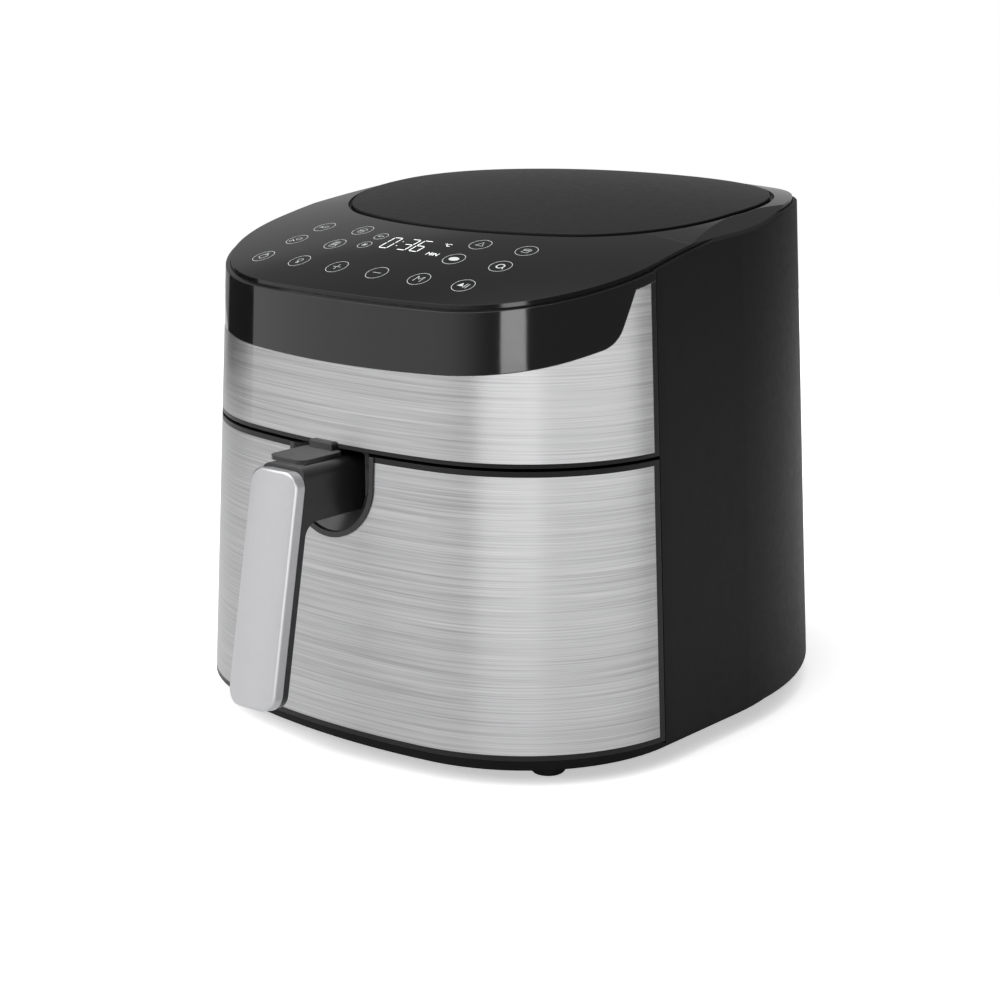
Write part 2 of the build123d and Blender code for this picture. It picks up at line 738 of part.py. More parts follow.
with BuildPart() as vent_grille:
    add(body_ring(VENT_BOTTOM, VENT_BOTTOM + VENT_HEIGHT, SHELL / 5, SHELL))
    add(VENT_BOX, mode=Mode.INTERSECT)
    for row in range(int((VENT_HEIGHT - VENT_PITCH) // VENT_PITCH) + 1):
        slot_z = VENT_BOTTOM + VENT_PITCH / 2 + row * VENT_PITCH
        slot_x = VENT_WIDTH / 2 - VENT_PITCH
        for slot in ((-slot_x, -VENT_BAR / 2), (VENT_BAR / 2, slot_x)):
            add(box_between(*slot, 0, FAR, slot_z, slot_z + VENT_SLOT), mode=Mode.SUBTRACT)
vent_grille.part.label = "vent_grille"
export_step(vent_grille.part, "parts/vent_grille.step")

# Cord inlet: a flanged bushing through the back of the housing.
with BuildPart() as cord_inlet:
    with BuildSketch(INLET_PLANE):
        Circle(INLET_FLANGE)
    extrude(amount=INLET_LENGTH)
    add(body_block(BASE_TOP, CHASSIS_BOTTOM), mode=Mode.SUBTRACT)
    with BuildSketch(INLET_PLANE):
        Circle(INLET_RADIUS)
    extrude(amount=INLET_LENGTH)
    with BuildSketch(INLET_PLANE):
        Circle(INLET_BORE)
    extrude(amount=INLET_LENGTH, mode=Mode.SUBTRACT)
    chamfer(cord_inlet.edges().filter_by(GeomType.CIRCLE).group_by(Axis.Y)[-1], length=INLET_CHAMFER)
cord_inlet.part.label = "cord_inlet"
export_step(cord_inlet.part, "parts/cord_inlet.step")

# Plate that frames the mouth of the bay behind the drawer front.
with BuildPart() as bay_frame:
    add(body_block(HOUSING_FLOOR_TOP, CHASSIS_BOTTOM, SHELL))
    add(
        box_between(-FAR, FAR, BAY_FRAME_FRONT_Y, BAY_FRAME_REAR_Y, 0, FAR), mode=Mode.INTERSECT
    )
    add(
        box_between(-LINER_HALF, LINER_HALF, -FAR, FAR, LINER_BOTTOM + LINER_WALL, FAR),
        mode=Mode.SUBTRACT,
    )
    add(
        rod_along_y(SWITCH_X, SWITCH_Z, -FAR, FAR, PLUNGER_RADIUS + PLUNGER_FIT),
        mode=Mode.SUBTRACT,
    )
bay_frame.part.label = "bay_frame"
export_step(bay_frame.part, "parts/bay_frame.step")

# Steel tray around the pan: floor, sides and back, open towards the drawer and the heater.
with BuildPart() as cavity_liner:
    add(tub(LINER_HALF + LINER_WALL, -2 * LINER_REAR_Y, LINER_REAR_Y, LINER_CORNER, LINER_BOTTOM, CHASSIS_BOTTOM))
    add(
        tub(
            LINER_HALF,
            -2 * LINER_REAR_Y,
            LINER_REAR_Y - LINER_WALL,
            LINER_CORNER - LINER_WALL,
            LINER_BOTTOM + LINER_WALL,
            CEILING,
        ),
        mode=Mode.SUBTRACT,
    )
    add(box_between(-FAR, FAR, -FAR, BAY_FRAME_REAR_Y, 0, FAR), mode=Mode.SUBTRACT)
cavity_liner.part.label = "cavity_liner"
export_step(cavity_liner.part, "parts/cavity_liner.step")

# Ledges that the flange of the pan slides on, hung from the chassis plate.
with BuildPart() as pan_runners:
    for side in (-1, 1):
        with BuildSketch(Plane.XZ.offset(-BAY_FRAME_REAR_Y)):
            with BuildLine():
                Polyline(
                    (side * RUNNER_INNER, RUNNER_TOP),
                    (side * RUNNER_WEB, RUNNER_TOP),
                    (side * RUNNER_WEB, CHASSIS_BOTTOM),
                    (side * (RUNNER_WEB + RUNNER_THICKNESS), CHASSIS_BOTTOM),
                    (side * (RUNNER_WEB + RUNNER_THICKNESS), RUNNER_TOP - RUNNER_THICKNESS),
                    (side * RUNNER_INNER, RUNNER_TOP - RUNNER_THICKNESS),
                    close=True,
                )
            make_face()
        extrude(amount=-RUNNER_LENGTH)
pan_runners.part.label = "pan_runners"
export_step(pan_runners.part, "parts/pan_runners.step")

# Plate over the bay that carries the heater, the fan and the boards.
with BuildPart() as chassis_plate:
    add(body_block(CHASSIS_BOTTOM, CHASSIS_TOP, SHELL + CHASSIS_GAP))
    add(box_between(-FAR, FAR, -FAR, BAY_FRAME_FRONT_Y, 0, FAR), mode=Mode.SUBTRACT)
    add(rod_between(0, FAN_Y, 0, FAR, GUARD_RADIUS - GUARD_RIM / 2), mode=Mode.SUBTRACT)
    with Locations(*[(x, y, CHASSIS_TOP) for x, y in mirrored_pairs(CHASSIS_POSTS)]):
        Hole(SCREW_RADIUS)
chassis_plate.part.label = "chassis_plate"
export_step(chassis_plate.part, "parts/chassis_plate.step")

with BuildPart() as chassis_screws:
    for x, y in mirrored_pairs(CHASSIS_POSTS):
        add(rod_between(x, y, CHASSIS_BOTTOM, CHASSIS_TOP, SCREW_RADIUS))
        add(rod_between(x, y, CHASSIS_TOP, CHASSIS_TOP + SCREW_HEAD, SCREW_HEAD_RADIUS))
chassis_screws.part.label = "chassis_screws"
export_step(chassis_screws.part, "parts/chassis_screws.step")

# ------------------------------------------------------------------ upper front
with BuildPart() as upper_steel:
    add(body_ring(UPPER_STEEL_BOTTOM, CEILING, 0, STEEL))
    add(crown_sky(BAND_RIM), mode=Mode.SUBTRACT)
    add(band_zone(), mode=Mode.SUBTRACT)
    split(bisect_by=seam_plane(-SEAM_BORDER), keep=Keep.BOTTOM)
upper_steel.part.label = "upper_steel"
export_step(upper_steel.part, "parts/upper_steel.step")

with BuildPart() as gloss_band:
    add(body_ring(BAND_FRONT_Z - SHELL, CEILING, 0, SHELL))
    add(top_sky(0), mode=Mode.SUBTRACT)
    with BuildPart(mode=Mode.PRIVATE) as band_limits:
        add(band_zone())
        add(crown_sky(BAND_RIM))
    add(band_limits.part, mode=Mode.INTERSECT)
    split(bisect_by=seam_plane(-SEAM_LINE), keep=Keep.BOTTOM)
gloss_band.part.label = "gloss_band"
export_step(gloss_band.part, "parts/gloss_band.step")

# Moulded frame behind the steel and the band; it shows as the black trim and seam border.
with BuildPart() as upper_frame:
    add(body_ring(UPPER_BOTTOM, CEILING, 0, SHELL))
    add(top_sky(0), mode=Mode.SUBTRACT)
    add(body_block(UPPER_BOTTOM, UPPER_STEEL_BOTTOM, SHELL / 2))
    add(top_ledge())
    add(gloss_band.part, mode=Mode.SUBTRACT)
    add(upper_steel.part, mode=Mode.SUBTRACT)
    split(bisect_by=seam_plane(-SEAM_LINE), keep=Keep.BOTTOM)
upper_frame.part.label = "upper_frame"
export_step(upper_frame.part, "parts/upper_frame.step")

# ------------------------------------------------------------------ top
with BuildPart() as top_cover:
    add(body_block(BAND_FRONT_Z, CEILING, SHELL + RIM_GAP))
    add(crown_sky(TOP_THICKNESS), mode=Mode.INTERSECT)
    add(top_sky(-PANEL_RISE), mode=Mode.SUBTRACT)
    # Step under the touch panel and recess for the lid.
    with BuildPart(mode=Mode.PRIVATE) as panel_step:
        add(crown_sky(0))
        add(box_between(-FAR, FAR, -FAR, PANEL_REAR_Y, 0, FAR), mode=Mode.INTERSECT)
        add(lens_block(BAND_FRONT_Z, CEILING), mode=Mode.SUBTRACT)
    add(panel_step.part, mode=Mode.SUBTRACT)
    with BuildPart(mode=Mode.PRIVATE) as recess:
        add(lens_block(BAND_FRONT_Z, CEILING))
        add(crown_sky(LENS_DEPTH - PANEL_RISE), mode=Mode.INTERSECT)
    add(recess.part, mode=Mode.SUBTRACT)
    # Air slots under the lid.
    for angle in range(0, 360, LID_SLOT_STEP):
        half = LID_SLOT_WIDTH / 2
        slot = box_between(LID_SLOT_INNER, LID_SLOT_OUTER, -half, half, BAND_FRONT_Z, CEILING)
        add(Pos(0, LENS_MID_Y, 0) * Rot(0, 0, angle) * slot, mode=Mode.SUBTRACT)
top_cover.part.label = "top_cover"
export_step(top_cover.part, "parts/top_cover.step")

with BuildPart() as touch_panel:
    add(body_block(BAND_FRONT_Z, CEILING, SHELL + RIM_GAP))
    add(crown_sky(0), mode=Mode.INTERSECT)
    add(top_sky(-PANEL_RISE), mode=Mode.SUBTRACT)
    add(box_between(-FAR, FAR, -FAR, PANEL_REAR_Y, 0, FAR), mode=Mode.INTERSECT)
    add(lens_block(BAND_FRONT_Z, CEILING), mode=Mode.SUBTRACT)
touch_panel.part.label = "touch_panel"
export_step(touch_panel.part, "parts/touch_panel.step")

with BuildPart() as lens_lid:
    add(lens_block(BAND_FRONT_Z, CEILING, LENS_GROOVE))
    add(crown_sky(LENS_DEPTH - PANEL_RISE), mode=Mode.INTERSECT)
    add(crown_sky(-PANEL_RISE - LENS_RISE), mode=Mode.SUBTRACT)
lens_lid.part.label = "lens_lid"
export_step(lens_lid.part, "parts/lens_lid.step")

# ------------------------------------------------------------------ control boards
BOARD_PLANE = Plane(
    origin=(0, BOARD_Y, crown_height(BOARD_Y) - TOP_THICKNESS - BOARD_DROP),
    x_dir=(1, 0, 0),
    z_dir=(0, -sin(radians(BOARD_TILT)), cos(radians(BOARD_TILT))),
)

with BuildPart() as control_board:
    with BuildSketch(BOARD_PLANE):
        Rectangle(BOARD_WIDTH, BOARD_LENGTH)
    extrude(amount=-BOARD_THICKNESS)
control_board.part.label = "control_board"
export_step(control_board.part, "parts/control_board.step")

with BuildPart() as board_posts:
    with BuildSketch(BOARD_PLANE):
        with GridLocations(BOARD_WIDTH - 2 * BOARD_MARGIN, BOARD_LENGTH - 2 * BOARD_MARGIN, 2, 2):
            Circle(BOARD_POST_RADIUS)
    extrude(amount=2 * BOARD_DROP)
    add(crown_sky(TOP_THICKNESS), mode=Mode.SUBTRACT)
    # Posts between the exhaust duct and the power board.
    post_x = DUCT_WIDTH / 2 - BOARD_MARGIN
    post_run = BOARD_LENGTH / 2 - BOARD_MARGIN
    for x, y in mirrored_pairs(((post_x, POWER_Y - post_run), (post_x, POWER_Y + post_run))):
        add(rod_between(x, y, POWER_BOTTOM - POWER_LIFT, POWER_BOTTOM, BOARD_POST_RADIUS))
board_posts.part.label = "board_posts"
export_step(board_posts.part, "parts/board_posts.step")

with BuildPart() as display_module:
    with BuildSketch(BOARD_PLANE):
        Rectangle(DISPLAY_WIDTH, DISPLAY_LENGTH)
    extrude(amount=BOARD_DROP / 2)
display_module.part.label = "display_module"
export_step(display_module.part, "parts/display_module.step")

with BuildPart() as power_board:
    add(
        box_between(
            -POWER_WIDTH / 2,
            POWER_WIDTH / 2,
            POWER_Y - BOARD_LENGTH / 2,
            POWER_Y + BOARD_LENGTH / 2,
            POWER_BOTTOM,
            POWER_BOTTOM + BOARD_THICKNESS,
        )
    )
power_board.part.label = "power_board"
export_step(power_board.part, "parts/power_board.step")

# Transformer, relay and capacitors on the power board.
with BuildPart() as power_components:
    with BuildSketch(Plane.XY.offset(POWER_BOTTOM + BOARD_THICKNESS)):
        with Locations((BOARD_MARGIN - POWER_WIDTH / 2 + TRANSFORMER / 2, POWER_Y)):
            Rectangle(TRANSFORMER, TRANSFORMER)
    extrude(amount=0.75 * TRANSFORMER)
    with BuildSketch(Plane.XY.offset(POWER_BOTTOM + BOARD_THICKNESS)):
        with Locations((POWER_WIDTH / 2 - BOARD_MARGIN - TRANSFORMER / 2, POWER_Y)):
            with GridLocations(0, TRANSFORMER, 1, 2):
                Rectangle(TRANSFORMER, TRANSFORMER / 2)
    extrude(amount=TRANSFORMER / 2)
    with BuildSketch(Plane.XY.offset(POWER_BOTTOM + BOARD_THICKNESS)):
        with Locations((0, POWER_Y)):
            with GridLocations(0, 3 * CAPACITOR_RADIUS, 1, 2):
                Circle(CAPACITOR_RADIUS)
    extrude(amount=3 * CAPACITOR_RADIUS)
power_components.part.label = "power_components"
export_step(power_components.part, "parts/power_components.step")

# ------------------------------------------------------------------ heater
DUCT_INNER = DUCT_WIDTH / 2 - DUCT_WALL

with BuildPart() as heater_dish:
    add(drum(CHASSIS_TOP, CHASSIS_TOP + SHEET, DISH_RADIUS + DISH_FLANGE))
    add(drum(CHASSIS_TOP, DISH_TOP, DISH_RADIUS + SHEET))
    add(drum(CHASSIS_BOTTOM, DISH_TOP - SHEET, DISH_RADIUS), mode=Mode.SUBTRACT)
    add(drum(0, FAR, SHAFT_RADIUS + SHAFT_CLEARANCE), mode=Mode.SUBTRACT)
    for x, y in COIL_LEGS:
        add(rod_between(x, y, 0, FAR, LEG_RADIUS), mode=Mode.SUBTRACT)
    add(rod_between(PROBE_X, PROBE_Y, 0, FAR, PROBE_RADIUS), mode=Mode.SUBTRACT)
    # Window into the exhaust duct.
    window = (CHASSIS_TOP + 2 * DUCT_WALL, CHASSIS_TOP + DUCT_HEIGHT - DUCT_WALL)
    add(box_between(-DUCT_INNER, DUCT_INNER, FAN_Y, FAR, *window), mode=Mode.SUBTRACT)
heater_dish.part.label = "heater_dish"
export_step(heater_dish.part, "parts/heater_dish.step")

# Steel grille between the heater and the basket.
with BuildPart() as fan_guard:
    with BuildSketch(Plane((0, FAN_Y, CHASSIS_TOP))):
        Circle(GUARD_RADIUS)
        Circle(GUARD_RADIUS - GUARD_RIM, mode=Mode.SUBTRACT)
        for ring in range(GUARD_RINGS, 0, -1):
            Circle(ring * GUARD_PITCH)
            Circle(ring * GUARD_PITCH - GUARD_BAR, mode=Mode.SUBTRACT)
        spoke_end = GUARD_RADIUS - GUARD_RIM / 2
        spoke_start = GUARD_PITCH - GUARD_BAR / 2
        with PolarLocations((spoke_start + spoke_end) / 2, GUARD_SPOKES):
            Rectangle(spoke_end - spoke_start, GUARD_BAR)
    extrude(amount=SHEET)
fan_guard.part.label = "fan_guard"
export_step(fan_guard.part, "parts/fan_guard.step")


def coil_ring():
    """Return the open ring of the heating element."""
    with BuildPart() as ring:
        with BuildSketch(Plane.XZ):
            with Locations((COIL_RADIUS, COIL_Z)):
                Circle(COIL_ROD / 2)
        revolve(axis=Axis.Z, revolution_arc=360 - 2 * COIL_GAP_ANGLE)
    return Pos(0, FAN_Y, 0) * Rot(0, 0, 180 + COIL_GAP_ANGLE) * ring.part


with BuildPart() as heating_coil:
    add(coil_ring())
    for x, y in COIL_LEGS:
        add(rod_between(x, y, COIL_Z - LEG_RADIUS, DISH_TOP + LEG_RISE, LEG_RADIUS))
heating_coil.part.label = "heating_coil"
export_step(heating_coil.part, "parts/heating_coil.step")

with BuildPart() as coil_insulators:
    for x, y in COIL_LEGS:
        add(rod_between(x, y, DISH_TOP, DISH_TOP + INSULATOR_HEIGHT, LEG_RADIUS + INSULATOR_WALL))
    for x, y in COIL_LEGS:
        add(rod_between(x, y, 0, FAR, LEG_RADIUS), mode=Mode.SUBTRACT)
coil_insulators.part.label = "coil_insulators"
export_step(coil_insulators.part, "parts/coil_insulators.step")

# Hooks that hang the ring from the dish.
with BuildPart() as coil_clips:
    clip_foot = box_between(
        COIL_RADIUS - COIL_ROD / 2,
        COIL_RADIUS + COIL_ROD / 2 + SHEET,
        -CLIP_WIDTH / 2,
        CLIP_WIDTH / 2,
        COIL_Z - COIL_ROD / 2 - SHEET,
        COIL_Z - COIL_ROD / 2,
    )
    clip_strap = box_between(
        COIL_RADIUS + COIL_ROD / 2,
        COIL_RADIUS + COIL_ROD / 2 + SHEET,
        -CLIP_WIDTH / 2,
        CLIP_WIDTH / 2,
        COIL_Z - COIL_ROD / 2 - SHEET,
        DISH_TOP - SHEET,
    )
    for angle in range(-90, 180, 90):
        add(Pos(0, FAN_Y, 0) * Rot(0, 0, angle) * clip_foot)
        add(Pos(0, FAN_Y, 0) * Rot(0, 0, angle) * clip_strap)
coil_clips.part.label = "coil_clips"
export_step(coil_clips.part, "parts/coil_clips.step")

with BuildPart() as thermal_cutout:
    add(rod_between(-PROBE_X, PROBE_Y, DISH_TOP, DISH_TOP + CUTOUT_HEIGHT, CUTOUT_RADIUS))
thermal_cutout.part.label = "thermal_cutout"
export_step(thermal_cutout.part, "parts/thermal_cutout.step")

with BuildPart() as temperature_probe:
    add(rod_between(PROBE_X, PROBE_Y, DISH_TOP - PROBE_DEPTH, DISH_TOP + PROBE_STUB, PROBE_RADIUS))
    add(rod_between(PROBE_X, PROBE_Y, DISH_TOP, DISH_TOP + SCREW_HEAD, 2 * PROBE_RADIUS))
temperature_probe.part.label = "temperature_probe"
export_step(temperature_probe.part, "parts/temperature_probe.step")

# Sheet duct that carries the spent air from the dish to the vent.
with BuildPart() as exhaust_duct:
    half = DUCT_WIDTH / 2
    inner = (CHASSIS_TOP + DUCT_WALL, CHASSIS_TOP + DUCT_HEIGHT - DUCT_WALL)
    add(box_between(-half, half, FAN_Y, FAR, CHASSIS_TOP, CHASSIS_TOP + DUCT_HEIGHT))
    add(box_between(-DUCT_INNER, DUCT_INNER, 0, FAR, *inner), mode=Mode.SUBTRACT)
    add(drum(0, FAR, DISH_RADIUS + SHEET), mode=Mode.SUBTRACT)
    add(drum(0, CHASSIS_TOP + SHEET, DISH_RADIUS + DISH_FLANGE), mode=Mode.SUBTRACT)
    add(body_block(CHASSIS_BOTTOM, CEILING, SHELL), mode=Mode.INTERSECT)
exhaust_duct.part.label = "exhaust_duct"
export_step(exhaust_duct.part, "parts/exhaust_duct.step")

# ------------------------------------------------------------------ fan and motor
with BuildPart() as fan_shaft:
    add(drum(SHAFT_BOTTOM, SHAFT_TOP, SHAFT_RADIUS))
fan_shaft.part.label = "fan_shaft"
export_step(fan_shaft.part, "parts/fan_shaft.step")

with BuildPart() as convection_fan:
    add(drum(FAN_BOTTOM, FAN_TOP, FAN_HUB))
    add(drum(FAN_TOP - SHEET, FAN_TOP, FAN_RADIUS))
    blade = box_between(0, FAN_RADIUS, -BLADE / 2, BLADE / 2, FAN_BOTTOM, FAN_TOP)
    for index in range(FAN_BLADES):
        add(Pos(0, FAN_Y, 0) * Rot(0, 0, index * 360 / FAN_BLADES) * blade)
    add(drum(0, FAR, SHAFT_RADIUS), mode=Mode.SUBTRACT)
convection_fan.part.label = "convection_fan"
export_step(convection_fan.part, "parts/convection_fan.step")

with BuildPart() as fan_nut:
    with BuildSketch(Plane((0, FAN_Y, FAN_BOTTOM - NUT_HEIGHT))):
        RegularPolygon(NUT_RADIUS, 6)
        Circle(SHAFT_RADIUS, mode=Mode.SUBTRACT)
    extrude(amount=NUT_HEIGHT)
fan_nut.part.label = "fan_nut"
export_step(fan_nut.part, "parts/fan_nut.step")

with BuildPart() as motor_bracket:
    add(drum(MOTOR_BOTTOM - MOTOR_WALL, MOTOR_BOTTOM, MOTOR_RADIUS + MOTOR_FLANGE))
    with BuildSketch(Plane((0, FAN_Y, DISH_TOP))):
        with PolarLocations(MOTOR_RADIUS + MOTOR_FLANGE - 2 * MOTOR_LEG_RADIUS, 4, start_angle=45):
            Circle(MOTOR_LEG_RADIUS)
    extrude(amount=MOTOR_LEG)
    add(drum(0, FAR, SHAFT_RADIUS + SHAFT_CLEARANCE), mode=Mode.SUBTRACT)
motor_bracket.part.label = "motor_bracket"
export_step(motor_bracket.part, "parts/motor_bracket.step")

with BuildPart() as motor_can:
    add(drum(MOTOR_BOTTOM, MOTOR_TOP, MOTOR_RADIUS))
    add(drum(LOWER_BEARING, CEILING, MOTOR_RADIUS - MOTOR_WALL), mode=Mode.SUBTRACT)
    add(drum(LOWER_BEARING, LOWER_BEARING + BEARING_HEIGHT, BEARING_RADIUS + BEARING_SEAT))
    add(drum(LOWER_BEARING, CEILING, BEARING_RADIUS), mode=Mode.SUBTRACT)
    add(drum(0, FAR, SHAFT_RADIUS + SHAFT_CLEARANCE), mode=Mode.SUBTRACT)
motor_can.part.label = "motor_can"
export_step(motor_can.part, "parts/motor_can.step")

with BuildPart() as motor_cap:
    add(drum(MOTOR_TOP, MOTOR_TOP + MOTOR_WALL, MOTOR_RADIUS))
    add(drum(UPPER_BEARING, MOTOR_TOP, BEARING_RADIUS + BEARING_SEAT))
    add(drum(0, MOTOR_TOP, BEARING_RADIUS), mode=Mode.SUBTRACT)
    add(drum(0, FAR, SHAFT_RADIUS + SHAFT_CLEARANCE), mode=Mode.SUBTRACT)
motor_cap.part.label = "motor_cap"
export_step(motor_cap.part, "parts/motor_cap.step")

with BuildPart() as motor_bearings:
    for bearing_z in (LOWER_BEARING, UPPER_BEARING):
        add(drum(bearing_z, bearing_z + BEARING_HEIGHT, BEARING_RADIUS))
    add(drum(0, FAR, SHAFT_RADIUS + SHAFT_FIT), mode=Mode.SUBTRACT)
motor_bearings.part.label = "motor_bearings"
export_step(motor_bearings.part, "parts/motor_bearings.step")

with BuildPart() as motor_stator:
    add(drum(STATOR_BOTTOM, STATOR_TOP, MOTOR_RADIUS - MOTOR_WALL))
    add(drum(0, FAR, ROTOR_RADIUS + ROTOR_AIR_GAP), mode=Mode.SUBTRACT)
motor_stator.part.label = "motor_stator"
export_step(motor_stator.part, "parts/motor_stator.step")

with BuildPart() as motor_rotor:
    add(drum(STATOR_BOTTOM, STATOR_TOP, ROTOR_RADIUS))
    add(drum(0, FAR, SHAFT_RADIUS), mode=Mode.SUBTRACT)
motor_rotor.part.label = "motor_rotor"
export_step(motor_rotor.part, "parts/motor_rotor.step")

with BuildPart() as cooling_fan:
    add(drum(COOLING_BOTTOM, COOLING_BOTTOM + COOLING_HEIGHT, FAN_HUB))
    half_height = (COOLING_HEIGHT - BLADE) / 2
    blade = Rot(COOLING_PITCH, 0, 0) * box_between(
        0, COOLING_RADIUS, -BLADE / 2, BLADE / 2, -half_height, half_height
    )
    for index in range(COOLING_BLADES):
        turn = Rot(0, 0, index * 360 / COOLING_BLADES)
        add(Pos(0, FAN_Y, COOLING_BOTTOM + COOLING_HEIGHT / 2) * turn * blade)
    add(drum(0, FAR, SHAFT_RADIUS), mode=Mode.SUBTRACT)
cooling_fan.part.label = "cooling_fan"
export_step(cooling_fan.part, "parts/cooling_fan.step")

# ------------------------------------------------------------------ drawer switch
with BuildPart() as interlock_switch:
    add(
        box_between(
            SWITCH_X - SWITCH_WIDTH / 2,
            SWITCH_X + SWITCH_WIDTH / 2,
            BAY_FRAME_REAR_Y,
            BAY_FRAME_REAR_Y + SWITCH_LENGTH,
            SWITCH_Z - SWITCH_HEIGHT / 2,
            SWITCH_Z + SWITCH_HEIGHT / 2,
        )
    )
    add(
        rod_along_y(SWITCH_X, SWITCH_Z, -FAR, BAY_FRAME_REAR_Y + SWITCH_BORE, PLUNGER_RADIUS + PLUNGER_FIT),
        mode=Mode.SUBTRACT,
    )
interlock_switch.part.label = "interlock_switch"
export_step(interlock_switch.part, "parts/interlock_switch.step")

with BuildPart() as switch_plunger:
    add(
        rod_along_y(
            SWITCH_X,
            SWITCH_Z,
            DRAWER_BACK_Y + PLUNGER_GAP,
            BAY_FRAME_REAR_Y + SWITCH_BORE - PLUNGER_GAP,
            PLUNGER_RADIUS,
        )
    )
switch_plunger.part.label = "switch_plunger"
export_step(switch_plunger.part, "parts/switch_plunger.step")

# ------------------------------------------------------------------ drawer
NOTCH_CUT = notch_block(NOTCH_HALF_WIDTH, 2 * FRONT_Y, PAN_FRONT_Y)
PAN_SCREWS = mirrored_pairs(
    (
        (PAN_HALF - PAN_CORNER - FLANGE_WIDTH, PAN_FRONT_Y - FLANGE_WIDTH / 2),
        (PAN_HALF - PAN_CORNER + CORNER_STEP, PAN_FRONT_Y + PAN_CORNER - CORNER_STEP),
    )
)

with BuildPart() as drawer_steel:
    add(body_ring(DRAWER_BOTTOM + DRAWER_TRIM, FLANGE_TOP, 0, STEEL))
    add(NOTCH_CUT, mode=Mode.SUBTRACT)
    split(bisect_by=seam_plane(-SEAM_GAP - SEAM_BORDER), keep=Keep.BOTTOM)
drawer_steel.part.label = "drawer_steel"
export_step(drawer_steel.part, "parts/drawer_steel.step")

# Moulded drawer front: wall behind the steel, floor, deck around the pan and back plate.
with BuildPart() as drawer_deck:
    add(body_block(FLANGE_TOP, DRAWER_TOP, SHELL / 2))
    add(pan_block(PAN_WALL, FLANGE_BOTTOM, CEILING), mode=Mode.SUBTRACT)

with BuildPart() as drawer_back:
    add(body_block(DRAWER_BOTTOM, DRAWER_TOP, SHELL / 2))
    add(box_between(-FAR, FAR, DRAWER_BACK_Y - SHELL, DRAWER_BACK_Y, 0, FAR), mode=Mode.INTERSECT)
    add(pan_block(-PASS_GAP, PAN_BOTTOM - PASS_GAP, CEILING), mode=Mode.SUBTRACT)
    flange_pass = FLANGE_HALF + PASS_GAP
    add(
        box_between(-flange_pass, flange_pass, -FAR, FAR, FLANGE_BOTTOM - PASS_GAP, FLANGE_TOP),
        mode=Mode.SUBTRACT,
    )

with BuildPart() as drawer_frame:
    add(body_ring(DRAWER_BOTTOM, DRAWER_TOP, 0, SHELL))
    add(body_block(DRAWER_BOTTOM, DRAWER_BOTTOM + DRAWER_TRIM, SHELL / 2))
    add(drawer_deck.part)
    add(drawer_back.part)
    add(NOTCH_CUT, mode=Mode.SUBTRACT)
    add(drawer_steel.part, mode=Mode.SUBTRACT)
    for x, y in PAN_SCREWS:
        add(rod_between(x, y, 0, FLANGE_TOP + SCREW_BITE, SCREW_RADIUS), mode=Mode.SUBTRACT)
    split(bisect_by=seam_plane(-SEAM_GAP), keep=Keep.BOTTOM)
drawer_frame.part.label = "drawer_frame"
export_step(drawer_frame.part, "parts/drawer_frame.step")

# Trough that lines the notch down to the pan, with a bowl that narrows to the neck.
with BuildPart() as notch_bezel:
    add(NOTCH_CUT)
    add(notch_block(NOTCH_INNER, 2 * FRONT_Y, BOWL_BACK_Y - BOWL_DEPTH), mode=Mode.SUBTRACT)
    add(notch_block(NOTCH_INNER, BOWL_BACK_Y, PAN_FRONT_Y), mode=Mode.SUBTRACT)
    add(notch_bowl(), mode=Mode.SUBTRACT)
    passage = GRIP_WIDTH / 2 - CORE_INSET + HANDLE_GAP
    add(box_between(-passage, passage, -FAR, FAR, NECK_BOTTOM - HANDLE_GAP, FAR), mode=Mode.SUBTRACT)
    add(body_block(DRAWER_BOTTOM, DRAWER_TOP, -BEZEL_PROUD), mode=Mode.INTERSECT)
notch_bezel.part.label = "notch_bezel"
export_step(notch_bezel.part, "parts/notch_bezel.step")

# Hooked catch on the floor of the notch.
with BuildPart() as latch_keeper:
    keeper_top = KEEPER_BOTTOM + KEEPER_LIP
    post_back_y = HOOK_TIP_Y - KEEPER_THICKNESS / 2
    half = KEEPER_HALF_WIDTH
    add(box_between(-half, half, post_back_y - KEEPER_THICKNESS, post_back_y, NOTCH_BOTTOM, keeper_top))
    add(box_between(-half, half, post_back_y - KEEPER_THICKNESS, KEEPER_BACK_Y, KEEPER_BOTTOM, keeper_top))
    add(notch_block(NOTCH_INNER, 2 * FRONT_Y, PAN_FRONT_Y), mode=Mode.INTERSECT)
latch_keeper.part.label = "latch_keeper"
export_step(latch_keeper.part, "parts/latch_keeper.step")

with BuildPart() as pan_hollow:
    add(pan_block(PAN_WALL, PAN_BOTTOM + PAN_WALL, CEILING))
    fillet(pan_hollow.edges().group_by(Axis.Z)[0], radius=PAN_FILLET - PAN_WALL)

with BuildPart() as pan:
    add(pan_block(0, PAN_BOTTOM, FLANGE_TOP))
    fillet(pan.edges().group_by(Axis.Z)[0], radius=PAN_FILLET)
    add(pan_block(-FLANGE_WIDTH, FLANGE_BOTTOM, FLANGE_TOP))
    add(pan_hollow.part, mode=Mode.SUBTRACT)
    add(notch_block(NOTCH_HALF_WIDTH, 2 * FRONT_Y, PAN_FRONT_Y), mode=Mode.SUBTRACT)
    add(notch_block(NOTCH_INNER, 2 * FRONT_Y, PAN_FRONT_Y + 2 * PAN_WALL), mode=Mode.SUBTRACT)
    for x, y in PAN_SCREWS:
        add(rod_between(x, y, 0, FAR, SCREW_RADIUS), mode=Mode.SUBTRACT)
pan.part.label = "pan"
export_step(pan.part, "parts/pan.step")

